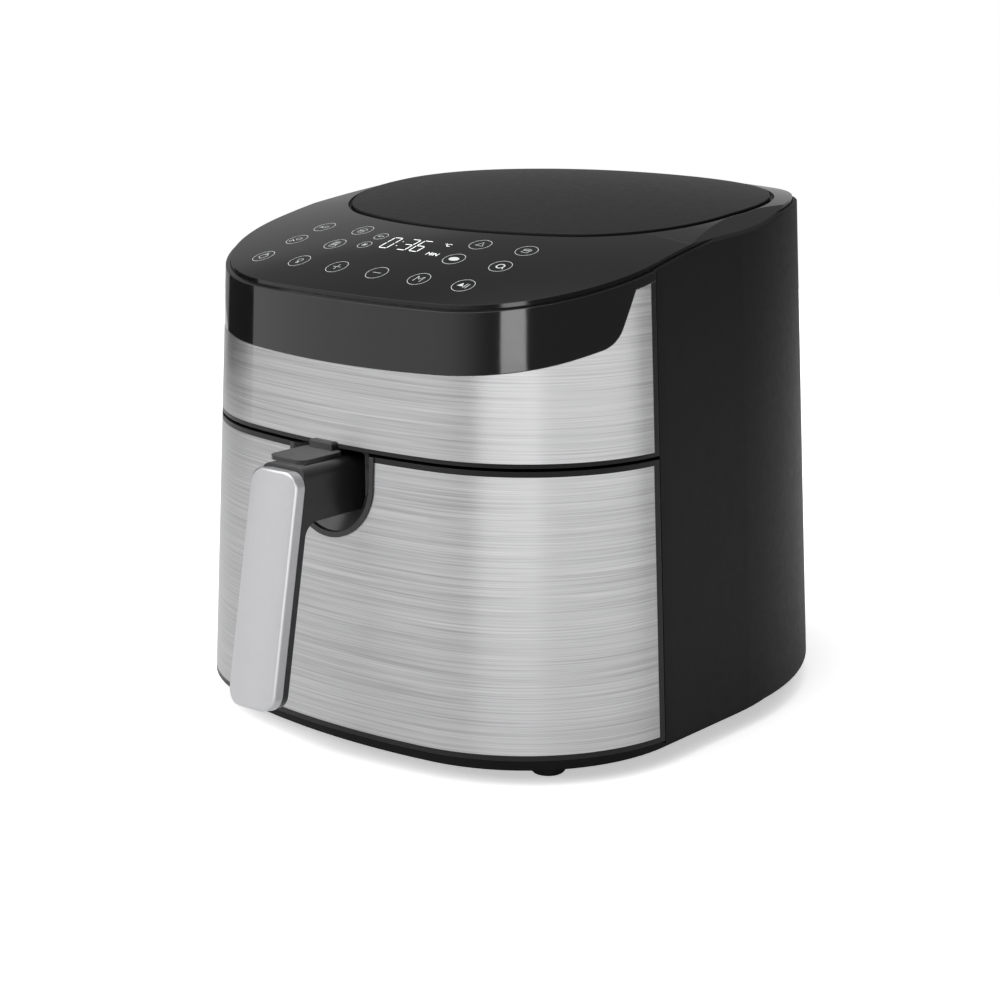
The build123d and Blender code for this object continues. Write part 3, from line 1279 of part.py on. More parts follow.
with BuildPart() as pan_screws:
    for x, y in PAN_SCREWS:
        add(rod_between(x, y, FLANGE_BOTTOM - SCREW_HEAD, FLANGE_BOTTOM, SCREW_HEAD_RADIUS))
        add(rod_between(x, y, FLANGE_BOTTOM, FLANGE_TOP + SCREW_BITE, SCREW_RADIUS))
pan_screws.part.label = "pan_screws"
export_step(pan_screws.part, "parts/pan_screws.step")

# ------------------------------------------------------------------ frying basket
RIB_SCREWS = ((-RIB_X, RIB_Z), (RIB_X, RIB_Z))
BASKET_FOOT_INSET = BASKET_INSET + BASKET_FILLET + BASKET_FOOT_RADIUS
FOOT_STEP = PAN_CORNER - (PAN_CORNER - BASKET_FOOT_INSET) * sin(radians(45))
BASKET_FEET = mirrored_pairs(
    (
        (PAN_HALF - FOOT_STEP, PAN_FRONT_Y + FOOT_STEP),
        (PAN_HALF - FOOT_STEP, PAN_REAR_Y - FOOT_STEP),
    )
)


def slot_count(wall):
    """Return how many air slots fit along the straight part of a wall."""
    return int((wall - 2 * PAN_CORNER) // SLOT_PITCH)


with BuildPart() as basket_hollow:
    add(pan_block(BASKET_INSET + BASKET_WALL, BASKET_BOTTOM + BASKET_WALL, CEILING))
    fillet(basket_hollow.edges().group_by(Axis.Z)[0], radius=BASKET_FILLET - BASKET_WALL)

with BuildPart() as basket:
    add(pan_block(BASKET_INSET, BASKET_BOTTOM, BASKET_TOP))
    fillet(basket.edges().group_by(Axis.Z)[0], radius=BASKET_FILLET)
    add(pan_block(BASKET_INSET - BASKET_ROLL, BASKET_TOP - BASKET_ROLL, BASKET_TOP))
    add(basket_hollow.part, mode=Mode.SUBTRACT)
    add(pan_block(BASKET_INSET + BASKET_LEDGE, 0, CEILING), mode=Mode.SUBTRACT)
    # Air slots low in the side and back walls.
    with BuildSketch(Plane.YZ.offset(-PAN_HALF)):
        with Locations((PAN_MID_Y, BASKET_BOTTOM + SLOT_RISE)):
            with GridLocations(SLOT_PITCH, SLOT_ROW, slot_count(PAN_REAR_Y - PAN_FRONT_Y), 2):
                SlotOverall(SLOT_LENGTH, SLOT_WIDTH)
    extrude(amount=PAN_WIDTH, mode=Mode.SUBTRACT)
    with BuildSketch(Plane.XZ.offset(-PAN_REAR_Y)):
        with Locations((0, BASKET_BOTTOM + SLOT_RISE)):
            with GridLocations(SLOT_PITCH, SLOT_ROW, slot_count(PAN_WIDTH), 2):
                SlotOverall(SLOT_LENGTH, SLOT_WIDTH)
    extrude(amount=PAN_CORNER, mode=Mode.SUBTRACT)
    for x, z in RIB_SCREWS:
        add(rod_along_y(x, z, 2 * FRONT_Y, PAN_MID_Y, SCREW_RADIUS), mode=Mode.SUBTRACT)
basket.part.label = "basket"
export_step(basket.part, "parts/basket.step")

with BuildPart() as crisper_tray:
    tray_bottom = BASKET_BOTTOM + BASKET_WALL
    tray_inset = BASKET_INSET + BASKET_FILLET
    add(pan_block(tray_inset, tray_bottom, tray_bottom + TRAY_THICKNESS))
    with BuildSketch(Plane.XY.offset(tray_bottom)):
        with Locations((0, PAN_MID_Y)):
            columns = int((PAN_WIDTH - 2 * tray_inset - PAN_CORNER / 2) // FLOOR_PITCH)
            rows = int((PAN_REAR_Y - PAN_FRONT_Y - 2 * tray_inset - PAN_CORNER / 2) // FLOOR_PITCH)
            with GridLocations(FLOOR_PITCH, FLOOR_PITCH, columns, rows):
                Circle(FLOOR_HOLE / 2)
    extrude(amount=TRAY_THICKNESS, mode=Mode.SUBTRACT)
crisper_tray.part.label = "crisper_tray"
export_step(crisper_tray.part, "parts/crisper_tray.step")

with BuildPart() as basket_feet:
    for x, y in BASKET_FEET:
        add(rod_between(x, y, PAN_BOTTOM + PAN_WALL, BASKET_BOTTOM, BASKET_FOOT_RADIUS))
basket_feet.part.label = "basket_feet"
export_step(basket_feet.part, "parts/basket_feet.step")

# ------------------------------------------------------------------ handle
# Plane of the back of the silver grip: local Y runs up the grip and Z faces the cook.
GRIP_PLANE = Plane(
    origin=(0, GRIP_BACK_Y, GRIP_BOTTOM),
    x_dir=(1, 0, 0),
    z_dir=(0, -cos(radians(GRIP_TILT)), sin(radians(GRIP_TILT))),
)
GRIP_SECTION = Plane(origin=GRIP_PLANE.origin, x_dir=(1, 0, 0), z_dir=GRIP_PLANE.y_dir)


def grip_point(rise, back):
    """Return the Y and Z of a point up the grip and behind its silver cover."""
    lean = radians(GRIP_TILT)
    y = GRIP_BACK_Y + rise * sin(lean) + back * cos(lean)
    z = GRIP_BOTTOM + rise * cos(lean) - back * sin(lean)
    return (y, z)


def grip_screw(rise, front, back, radius):
    """Return a round rod square to the grip plane, from front to back of it."""
    with BuildPart() as rod:
        with BuildSketch(GRIP_PLANE.offset(-back)):
            with Locations((0, rise)):
                Circle(radius)
        extrude(amount=front + back)
    return rod.part


with BuildPart() as handle_bracket:
    add(notch_block(NOTCH_INNER - HANDLE_GAP, BRACKET_Y, BRACKET_BACK_Y))
    add(box_between(-FAR, FAR, -FAR, FAR, NECK_TOP, FAR), mode=Mode.SUBTRACT)
    # Ribs to the basket, ears for the latch pin and a slot for the latch.
    for x, z in RIB_SCREWS:
        sides = (x - RIB_HALF_WIDTH, x + RIB_HALF_WIDTH)
        heights = (z - RIB_HALF_HEIGHT, z + RIB_HALF_HEIGHT)
        add(box_between(*sides, BRACKET_BACK_Y, BASKET_FRONT_Y, *heights))
    for x, z in RIB_SCREWS:
        add(rod_along_y(x, z, BASKET_FRONT_Y - SCREW_LENGTH, BASKET_FRONT_Y, SCREW_RADIUS), mode=Mode.SUBTRACT)
    for sides in ((-EAR_INNER - EAR_THICKNESS, -EAR_INNER), (EAR_INNER, EAR_INNER + EAR_THICKNESS)):
        heights = (LATCH_PIVOT_Z - EAR_HALF_HEIGHT, LATCH_PIVOT_Z + EAR_HALF_HEIGHT)
        add(box_between(*sides, BRACKET_BACK_Y, LATCH_PIVOT_Y + EAR_REACH, *heights))
    add(
        rod_along_x(LATCH_PIVOT_Y, LATCH_PIVOT_Z, -NOTCH_INNER, NOTCH_INNER, LATCH_PIN_RADIUS),
        mode=Mode.SUBTRACT,
    )
    add(box_between(-EAR_INNER, EAR_INNER, -FAR, BRACKET_BACK_Y, 0, LATCH_POCKET_TOP), mode=Mode.SUBTRACT)
    keeper_room = KEEPER_HALF_WIDTH + LATCH_GAP
    keeper_roof = KEEPER_BOTTOM + KEEPER_LIP + LATCH_GAP
    add(box_between(-keeper_room, keeper_room, -FAR, BRACKET_BACK_Y, 0, keeper_roof), mode=Mode.SUBTRACT)
    for x in (-ARM_SCREW_X, ARM_SCREW_X):
        add(rod_along_y(x, ARM_SCREW_Z, BRACKET_Y, BRACKET_BACK_Y, SCREW_RADIUS), mode=Mode.SUBTRACT)
handle_bracket.part.label = "handle_bracket"
export_step(handle_bracket.part, "parts/handle_bracket.step")

# Black core of the grip in one piece with the neck.
with BuildPart() as handle_arm:
    half = GRIP_WIDTH / 2 - CORE_INSET
    with BuildSketch(Plane.YZ):
        with BuildLine():
            corner_rise = (NECK_BOTTOM - GRIP_BOTTOM + CORE_THICKNESS * sin(radians(GRIP_TILT))) / cos(
                radians(GRIP_TILT)
            )
            lower = FilletPolyline(
                grip_point(CORE_INSET, CORE_THICKNESS),
                grip_point(corner_rise, CORE_THICKNESS),
                (BRACKET_Y, NECK_BOTTOM),
                radius=GRIP_FILLET,
            )
            top_rise = (NECK_TOP - GRIP_BOTTOM) / cos(radians(GRIP_TILT))
            Polyline(
                lower @ 1,
                (BRACKET_Y, NECK_TOP),
                grip_point(top_rise, 0),
                grip_point(CORE_INSET, 0),
                lower @ 0,
            )
        make_face()
    extrude(amount=half, both=True)
    along_neck = handle_arm.edges().filter_by(Axis.Y).group_by(Axis.Z)
    fillet(along_neck[-1], radius=NECK_ROUNDING)
    # Rounded lower corners.
    with BuildSketch(GRIP_PLANE.offset(-GRIP_LENGTH)):
        with Locations((0, CORE_INSET + GRIP_LENGTH)):
            RectangleRounded(2 * half, 2 * GRIP_LENGTH, GRIP_CORNER - CORE_INSET)
    extrude(amount=2 * GRIP_LENGTH, mode=Mode.INTERSECT)
    # Well of the button with the hole for its stem, and pocket of the latch.
    reach = BUTTON_HALF + BUTTON_GAP
    add(
        box_between(-reach, reach, BUTTON_Y - reach, BUTTON_Y + reach, SPRING_FLOOR, FAR),
        mode=Mode.SUBTRACT,
    )
    add(rod_between(0, BUTTON_Y, NECK_BOTTOM + PAN_WALL, FAR, STEM_RADIUS + BUTTON_GAP), mode=Mode.SUBTRACT)
    add(
        box_between(
            -EAR_INNER,
            EAR_INNER,
            LATCH_PIVOT_Y - LATCH_REACH - STEM_RADIUS,
            0,
            LATCH_POCKET_FLOOR,
            LATCH_POCKET_TOP,
        ),
        mode=Mode.SUBTRACT,
    )
    for x in (-ARM_SCREW_X, ARM_SCREW_X):
        add(rod_along_y(x, ARM_SCREW_Z, BRACKET_Y - SCREW_LENGTH, BRACKET_Y, SCREW_RADIUS), mode=Mode.SUBTRACT)
    for rise in (GRIP_SCREW_LOW, GRIP_SCREW_HIGH):
        add(grip_screw(rise, 0, CORE_THICKNESS, SCREW_RADIUS), mode=Mode.SUBTRACT)
handle_arm.part.label = "handle_arm"
export_step(handle_arm.part, "parts/handle_arm.step")

# Silver cover of the grip, hollow behind its bowed face.
with BuildPart() as grip_cover:
    with BuildSketch(GRIP_SECTION):
        with BuildLine():
            half = GRIP_WIDTH / 2
            Polyline((-half, -GRIP_SIDE), (-half, 0), (half, 0), (half, -GRIP_SIDE))
            ThreePointArc((-half, -GRIP_SIDE), (0, -GRIP_SIDE - GRIP_BULGE), (half, -GRIP_SIDE))
        make_face()
    extrude(amount=GRIP_LENGTH)
    with BuildSketch(GRIP_PLANE):
        with Locations((0, GRIP_LENGTH / 2)):
            RectangleRounded(GRIP_WIDTH, GRIP_LENGTH, GRIP_CORNER)
    extrude(amount=2 * GRIP_SIDE, mode=Mode.INTERSECT)
    front_face = grip_cover.faces().sort_by(Axis(GRIP_PLANE.origin, GRIP_PLANE.z_dir))[-1]
    fillet(front_face.edges(), radius=GRIP_EDGE)
    with BuildSketch(GRIP_PLANE):
        with Locations((0, GRIP_LENGTH / 2)):
            RectangleRounded(
                GRIP_WIDTH - 2 * GRIP_WALL, GRIP_LENGTH - 2 * GRIP_WALL, GRIP_CORNER - GRIP_WALL
            )
        with Locations((0, GRIP_SCREW_LOW), (0, GRIP_SCREW_HIGH)):
            Circle(GRIP_BOSS, mode=Mode.SUBTRACT)
    extrude(amount=GRIP_SIDE - GRIP_WALL, mode=Mode.SUBTRACT)
    for rise in (GRIP_SCREW_LOW, GRIP_SCREW_HIGH):
        add(grip_screw(rise, GRIP_SIDE - GRIP_WALL, 0, SCREW_RADIUS), mode=Mode.SUBTRACT)
grip_cover.part.label = "grip_cover"
export_step(grip_cover.part, "parts/grip_cover.step")

with BuildPart() as handle_screws:
    for x, z in RIB_SCREWS:
        wall_back = BASKET_FRONT_Y + BASKET_WALL
        add(rod_along_y(x, z, BASKET_FRONT_Y - SCREW_LENGTH, wall_back, SCREW_RADIUS))
        add(rod_along_y(x, z, wall_back, wall_back + SCREW_HEAD, SCREW_HEAD_RADIUS))
    for x in (-ARM_SCREW_X, ARM_SCREW_X):
        add(rod_along_y(x, ARM_SCREW_Z, BRACKET_Y - SCREW_LENGTH, BRACKET_BACK_Y, SCREW_RADIUS))
        add(
            rod_along_y(
                x, ARM_SCREW_Z, BRACKET_BACK_Y, BRACKET_BACK_Y + SCREW_HEAD, SCREW_HEAD_RADIUS
            )
        )
    for rise in (GRIP_SCREW_LOW, GRIP_SCREW_HIGH):
        add(grip_screw(rise, GRIP_SIDE - GRIP_WALL, CORE_THICKNESS, SCREW_RADIUS))
        add(grip_screw(rise, -CORE_THICKNESS, CORE_THICKNESS + SCREW_HEAD, SCREW_HEAD_RADIUS))
handle_screws.part.label = "handle_screws"
export_step(handle_screws.part, "parts/handle_screws.step")

# ------------------------------------------------------------------ basket release
# Cap over the button: it slides forward on two rails by the tab at its back.
with BuildPart() as button_cover:
    with BuildSketch(Plane.XY.offset(COVER_BOTTOM)):
        with Locations((0, (COVER_FRONT_Y + COVER_REAR_Y) / 2)):
            RectangleRounded(2 * COVER_HALF_WIDTH, COVER_REAR_Y - COVER_FRONT_Y, COVER_CORNER)
    extrude(amount=COVER_THICKNESS)
    for sides in ((-RAIL_INNER - RAIL_WIDTH, -RAIL_INNER), (RAIL_INNER, RAIL_INNER + RAIL_WIDTH)):
        rail_ends = (COVER_FRONT_Y + COVER_CORNER, COVER_REAR_Y - COVER_CORNER)
        add(box_between(*sides, *rail_ends, NECK_TOP + COVER_GAP, COVER_BOTTOM))
    tab = (COVER_REAR_Y - TAB_LENGTH, COVER_REAR_Y, COVER_TOP, COVER_TOP + TAB_HEIGHT)
    add(box_between(-TAB_HALF_WIDTH, TAB_HALF_WIDTH, *tab))
    fillet(button_cover.edges().group_by(Axis.Z)[-1], radius=TAB_ROUNDING)
button_cover.part.label = "button_cover"
export_step(button_cover.part, "parts/button_cover.step")

with BuildPart() as release_button:
    with BuildSketch(Plane.XY.offset(BUTTON_BOTTOM)):
        with Locations((0, BUTTON_Y)):
            RectangleRounded(2 * BUTTON_HALF, 2 * BUTTON_HALF, STEM_RADIUS)
    extrude(amount=BUTTON_CAP)
    add(rod_between(0, BUTTON_Y, LATCH_ARM_TOP + HOOK_GAP, BUTTON_BOTTOM, STEM_RADIUS))
release_button.part.label = "release_button"
export_step(release_button.part, "parts/release_button.step")

with BuildPart() as release_spring:
    with BuildLine(Plane((0, BUTTON_Y, SPRING_FLOOR + SPRING_WIRE / 2))) as coil_line:
        Helix(
            pitch=(BUTTON_BOTTOM - SPRING_FLOOR - SPRING_WIRE) / SPRING_TURNS,
            height=BUTTON_BOTTOM - SPRING_FLOOR - SPRING_WIRE,
            radius=SPRING_RADIUS - SPRING_WIRE / 2,
        )
    with BuildSketch(Plane(coil_line.line @ 0, z_dir=coil_line.line % 0)):
        Circle(SPRING_WIRE / 2)
    sweep(path=coil_line.line, is_frenet=True)
release_spring.part.label = "release_spring"
export_step(release_spring.part, "parts/release_spring.step")

# Bell crank that the button tips; its hook lets go of the catch.
with BuildPart() as latch_lever:
    hub = rod_along_x(LATCH_PIVOT_Y, LATCH_PIVOT_Z, -LATCH_HALF_WIDTH, LATCH_HALF_WIDTH, LATCH_HUB)
    width = (-LATCH_HALF_WIDTH, LATCH_HALF_WIDTH)
    blade = (LATCH_PIVOT_Y - LATCH_BLADE / 2, LATCH_PIVOT_Y + LATCH_BLADE / 2)
    add(hub)
    add(box_between(*width, LATCH_PIVOT_Y - LATCH_REACH, LATCH_PIVOT_Y, LATCH_ARM_TOP - LATCH_ARM, LATCH_ARM_TOP))
    add(box_between(*width, *blade, HOOK_BOTTOM, LATCH_PIVOT_Z))
    add(box_between(*width, HOOK_TIP_Y, LATCH_PIVOT_Y, HOOK_BOTTOM, HOOK_BOTTOM + HOOK_HEIGHT))
    add(
        rod_along_x(LATCH_PIVOT_Y, LATCH_PIVOT_Z, -FAR, FAR, LATCH_PIN_RADIUS + PIN_FIT), mode=Mode.SUBTRACT
    )
latch_lever.part.label = "latch_lever"
export_step(latch_lever.part, "parts/latch_lever.step")

with BuildPart() as latch_pin:
    pin_end = EAR_INNER + EAR_THICKNESS
    add(rod_along_x(LATCH_PIVOT_Y, LATCH_PIVOT_Z, -pin_end, pin_end, LATCH_PIN_RADIUS))
latch_pin.part.label = "latch_pin"
export_step(latch_pin.part, "parts/latch_pin.step")
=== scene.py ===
"""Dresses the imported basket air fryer.

Every part gets a finish, the touch panel gets its print, and the whole stands in a plain studio.
"""

import json
import logging
import math
from dataclasses import dataclass
from enum import Enum
from typing import Any

import bpy
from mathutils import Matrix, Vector


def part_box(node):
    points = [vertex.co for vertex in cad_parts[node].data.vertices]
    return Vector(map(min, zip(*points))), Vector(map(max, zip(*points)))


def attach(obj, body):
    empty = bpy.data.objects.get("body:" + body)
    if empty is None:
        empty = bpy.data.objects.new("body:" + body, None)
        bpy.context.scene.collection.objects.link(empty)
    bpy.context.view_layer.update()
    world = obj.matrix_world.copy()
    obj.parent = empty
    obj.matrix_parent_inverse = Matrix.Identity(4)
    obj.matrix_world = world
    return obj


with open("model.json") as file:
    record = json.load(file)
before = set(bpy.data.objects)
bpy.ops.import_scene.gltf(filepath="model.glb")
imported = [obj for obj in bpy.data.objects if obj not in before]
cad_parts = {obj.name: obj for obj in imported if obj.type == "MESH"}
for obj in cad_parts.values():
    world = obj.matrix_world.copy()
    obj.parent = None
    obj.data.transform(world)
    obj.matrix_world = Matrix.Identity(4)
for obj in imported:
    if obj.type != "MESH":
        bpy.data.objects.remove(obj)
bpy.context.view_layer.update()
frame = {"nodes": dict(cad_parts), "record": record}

MM = 0.001
LOG = logging.getLogger("air_fryer")

# The pattern of a surface: how much longer than wide a brushed line is, how much coarser the second
# layer is, and the heights under which the surface is worn and over which it is clean.
BRUSH_LENGTH = 140.0
COARSER = 5.0
WORN_HEIGHT = 0.3
CLEAN_HEIGHT = 0.7


# ------------------------------------------------------------------ node and mesh helpers
def linear(colour: str) -> tuple[float, float, float, float]:
    """Turn an sRGB hex colour into linear light.

    Args:
        colour: six hex digits after a hash sign.

    Returns:
        Linear red, green, blue and an alpha of 1.
    """
    channels = [int(colour[i : i + 2], 16) / 255 for i in (1, 3, 5)]
    light = [c / 12.92 if c <= 0.04045 else ((c + 0.055) / 1.055) ** 2.4 for c in channels]
    return (*light, 1.0)


def add_node(
    tree: bpy.types.NodeTree,
    kind: str,
    values: dict[Any, Any] | None = None,
    links: dict[Any, bpy.types.NodeSocket] | None = None,
    **properties: Any,
) -> bpy.types.Node:
    """Add a node with its settings and links.

    Args:
        tree: the node tree that gets it.
        kind: Blender's name of the node type.
        values: input name or number to the value it is set to.
        links: input name or number to the output it reads.
        properties: the node's own options.

    Returns:
        The new node.
    """
    node = tree.nodes.new(kind)
    for option, setting in properties.items():
        setattr(node, option, setting)
    for socket, value in (values or {}).items():
        node.inputs[socket].default_value = value
    for socket, source in (links or {}).items():
        tree.links.new(source, node.inputs[socket])
    return node


def deselect_all() -> None:
    """Leave object mode with nothing selected."""
    if bpy.context.object and bpy.context.object.mode != "OBJECT":
        bpy.ops.object.mode_set(mode="OBJECT")
    bpy.ops.object.select_all(action="DESELECT")


def make_active(piece: bpy.types.Object) -> None:
    """Select one object alone and make it the active one.

    Args:
        piece: the object.
    """
    deselect_all()
    piece.select_set(True)
    bpy.context.view_layer.objects.active = piece


def apply_place(piece: bpy.types.Object) -> None:
    """Move a piece's place, turn and scale into its mesh."""
    make_active(piece)
    bpy.ops.object.transform_apply(location=True, rotation=True, scale=True)


def apply_modifier(piece: bpy.types.Object, kind: str, **settings: Any) -> None:
    """Add one modifier with its settings and apply it.

    Args:
        piece: the object it works on.
        kind: Blender's name of the modifier type.
        settings: the modifier's own options.
    """
    make_active(piece)
    modifier = piece.modifiers.new(kind.title(), kind)
    for option, setting in settings.items():
        setattr(modifier, option, setting)
    bpy.ops.object.modifier_apply(modifier=modifier.name)


def dress(piece: bpy.types.Object, material: bpy.types.Material) -> None:
    """Give the whole piece one material."""
    piece.data.materials.clear()
    piece.data.materials.append(material)


# ------------------------------------------------------------------ finishes
class Surface(Enum):
    """How a surface was made, which sets the pattern of its bump."""

    MOULDED = "moulded in a spark-eroded tool"
    POLISHED = "moulded in a polished tool"
    BRUSHED = "brushed lengthwise with a belt"
    BLASTED = "bead blasted"
    SPRAYED = "sprayed and baked coat"
    PRINTED = "screen printed"


@dataclass(frozen=True)
class Finish:
    """One real material with the way its surface was made.

    Attributes:
        name: common name of the material and its surface.
        colour: sRGB hex of the clean surface.
        surface: how it was made.
        roughness: mean roughness.
        metallic: 1 for bare metal.
        grain_mm: spacing of the finest pattern that shows.
        depth_mm: height of that pattern.
        contrast: share by which the pattern darkens the colour.
        rough_spread: how far roughness wanders over the surface.
        edge_mm: radius of the broken edges.
        ior: refractive index, for what isn't metal.
        specular: strength of the clear reflection, 0.5 for plain plastic.
        anisotropy: stretch of highlights across the brushing.
        glow: strength of its own light.
        unevenness: share of the coarse layer in the pattern.
    """

    name: str
    colour: str
    surface: Surface
    roughness: float
    metallic: float = 0.0
    grain_mm: float = 0.9
    depth_mm: float = 0.01
    contrast: float = 0.08
    rough_spread: float = 0.0
    edge_mm: float = 0.0
    ior: float = 1.5
    specular: float = 0.5
    anisotropy: float = 0.0
    glow: float = 0.0
    unevenness: float = 0.4

    def stretch(self) -> tuple[float, float, float]:
        """Return how much longer than wide the grain is along each axis."""
        along = BRUSH_LENGTH if self.surface is Surface.BRUSHED else 1.0
        return (along, along, 1.0)

    def pattern(self, tree: bpy.types.NodeTree) -> bpy.types.NodeSocket:
        """Build the fine pattern of the surface.

        Args:
            tree: the material's node tree.

        Returns:
            The output that holds its height from 0 to 1.
        """
        place = add_node(tree, "ShaderNodeTexCoord").outputs["Object"]
        scale = [1000.0 / (self.grain_mm * longer) for longer in self.stretch()]
        fine_place = add_node(tree, "ShaderNodeMapping", {"Scale": scale}, {"Vector": place})
        fine = add_node(
            tree,
            "ShaderNodeTexNoise",
            {"Scale": 1.0, "Detail": 3.0, "Roughness": 0.6},
            {"Vector": fine_place.outputs["Vector"]},
        )
        # A second, coarser layer stands for the unevenness of tool, belt or spray.
        broad_scale = [share / COARSER for share in scale]
        broad_place = add_node(tree, "ShaderNodeMapping", {"Scale": broad_scale}, {"Vector": place})
        broad = add_node(
            tree,
            "ShaderNodeTexNoise",
            {"Scale": 1.0, "Detail": 2.0},
            {"Vector": broad_place.outputs["Vector"]},
        )
        mix = add_node(
            tree,
            "ShaderNodeMix",
            {"Factor": self.unevenness},
            {"A": fine.outputs["Fac"], "B": broad.outputs["Fac"]},
            data_type="FLOAT",
        )
        return mix.outputs["Result"]

    def add_tint(
        self, tree: bpy.types.NodeTree, shader: bpy.types.Node, height: bpy.types.NodeSocket
    ) -> None:
        """Darken the colour where the pattern is low.

        Args:
            tree: the material's node tree.
            shader: its shader.
            height: the output that holds the pattern.
        """
        clean = linear(self.colour)
        worn = (*[channel * (1 - self.contrast) for channel in clean[:3]], 1.0)
        tint = add_node(tree, "ShaderNodeValToRGB", links={"Fac": height})
        places = (WORN_HEIGHT, CLEAN_HEIGHT)
        for element, at, colour in zip(tint.color_ramp.elements, places, (worn, clean), strict=True):
            element.position = at
            element.color = colour
        tree.links.new(tint.outputs["Color"], shader.inputs["Base Color"])

    def add_wander(
        self, tree: bpy.types.NodeTree, shader: bpy.types.Node, height: bpy.types.NodeSocket
    ) -> None:
        """Let the roughness wander with the pattern.

        Args:
            tree: the material's node tree.
            shader: its shader.
            height: the output that holds the pattern.
        """
        rough = add_node(
            tree,
            "ShaderNodeMapRange",
            {
                "From Min": WORN_HEIGHT,
                "From Max": CLEAN_HEIGHT,
                "To Min": self.roughness - self.rough_spread,
                "To Max": self.roughness + self.rough_spread,
            },
            {"Value": height},
        )
        tree.links.new(rough.outputs["Result"], shader.inputs["Roughness"])

    def add_relief(
        self, tree: bpy.types.NodeTree, shader: bpy.types.Node, height: bpy.types.NodeSocket
    ) -> None:
        """Turn the pattern into relief and break the edges.

        Args:
            tree: the material's node tree.
            shader: its shader.
            height: the output that holds the pattern.
        """
        bump = add_node(
            tree,
            "ShaderNodeBump",
            {"Strength": 1.0, "Distance": self.depth_mm * MM},
            {"Height": height},
        )
        if self.edge_mm:
            edge = add_node(tree, "ShaderNodeBevel", {"Radius": self.edge_mm * MM}, samples=4)
            tree.links.new(edge.outputs["Normal"], bump.inputs["Normal"])
        tree.links.new(bump.outputs["Normal"], shader.inputs["Normal"])

    def add_brushing(self, tree: bpy.types.NodeTree, shader: bpy.types.Node) -> None:
        """Stretch the highlights across the brushed lines.

        Args:
            tree: the material's node tree.
            shader: its shader.
        """
        # The belt ran round the sheet, level with the table, so highlights stretch up and down.
        shader.inputs["Anisotropic"].default_value = self.anisotropy
        shader.inputs["Anisotropic Rotation"].default_value = 0.25
        run = add_node(tree, "ShaderNodeTangent", direction_type="RADIAL", axis="Z")
        tree.links.new(run.outputs["Tangent"], shader.inputs["Tangent"])

    def build(self) -> bpy.types.Material:
        """Make the material.

        Returns:
            The finished node material.
        """
        material = bpy.data.materials.new(self.name)
        material.use_nodes = True
        tree = material.node_tree
        shader = tree.nodes["Principled BSDF"]
        shader.inputs["Metallic"].default_value = self.metallic
        shader.inputs["Roughness"].default_value = self.roughness
        if not self.metallic:
            shader.inputs["IOR"].default_value = self.ior
            shader.inputs["Specular IOR Level"].default_value = self.specular
        height = self.pattern(tree)
        self.add_tint(tree, shader, height)
        if self.rough_spread:
            self.add_wander(tree, shader, height)
        self.add_relief(tree, shader, height)
        if self.anisotropy:
            self.add_brushing(tree, shader)
        if self.glow:
            shader.inputs["Emission Color"].default_value = linear(self.colour)
            shader.inputs["Emission Strength"].default_value = self.glow
        return material


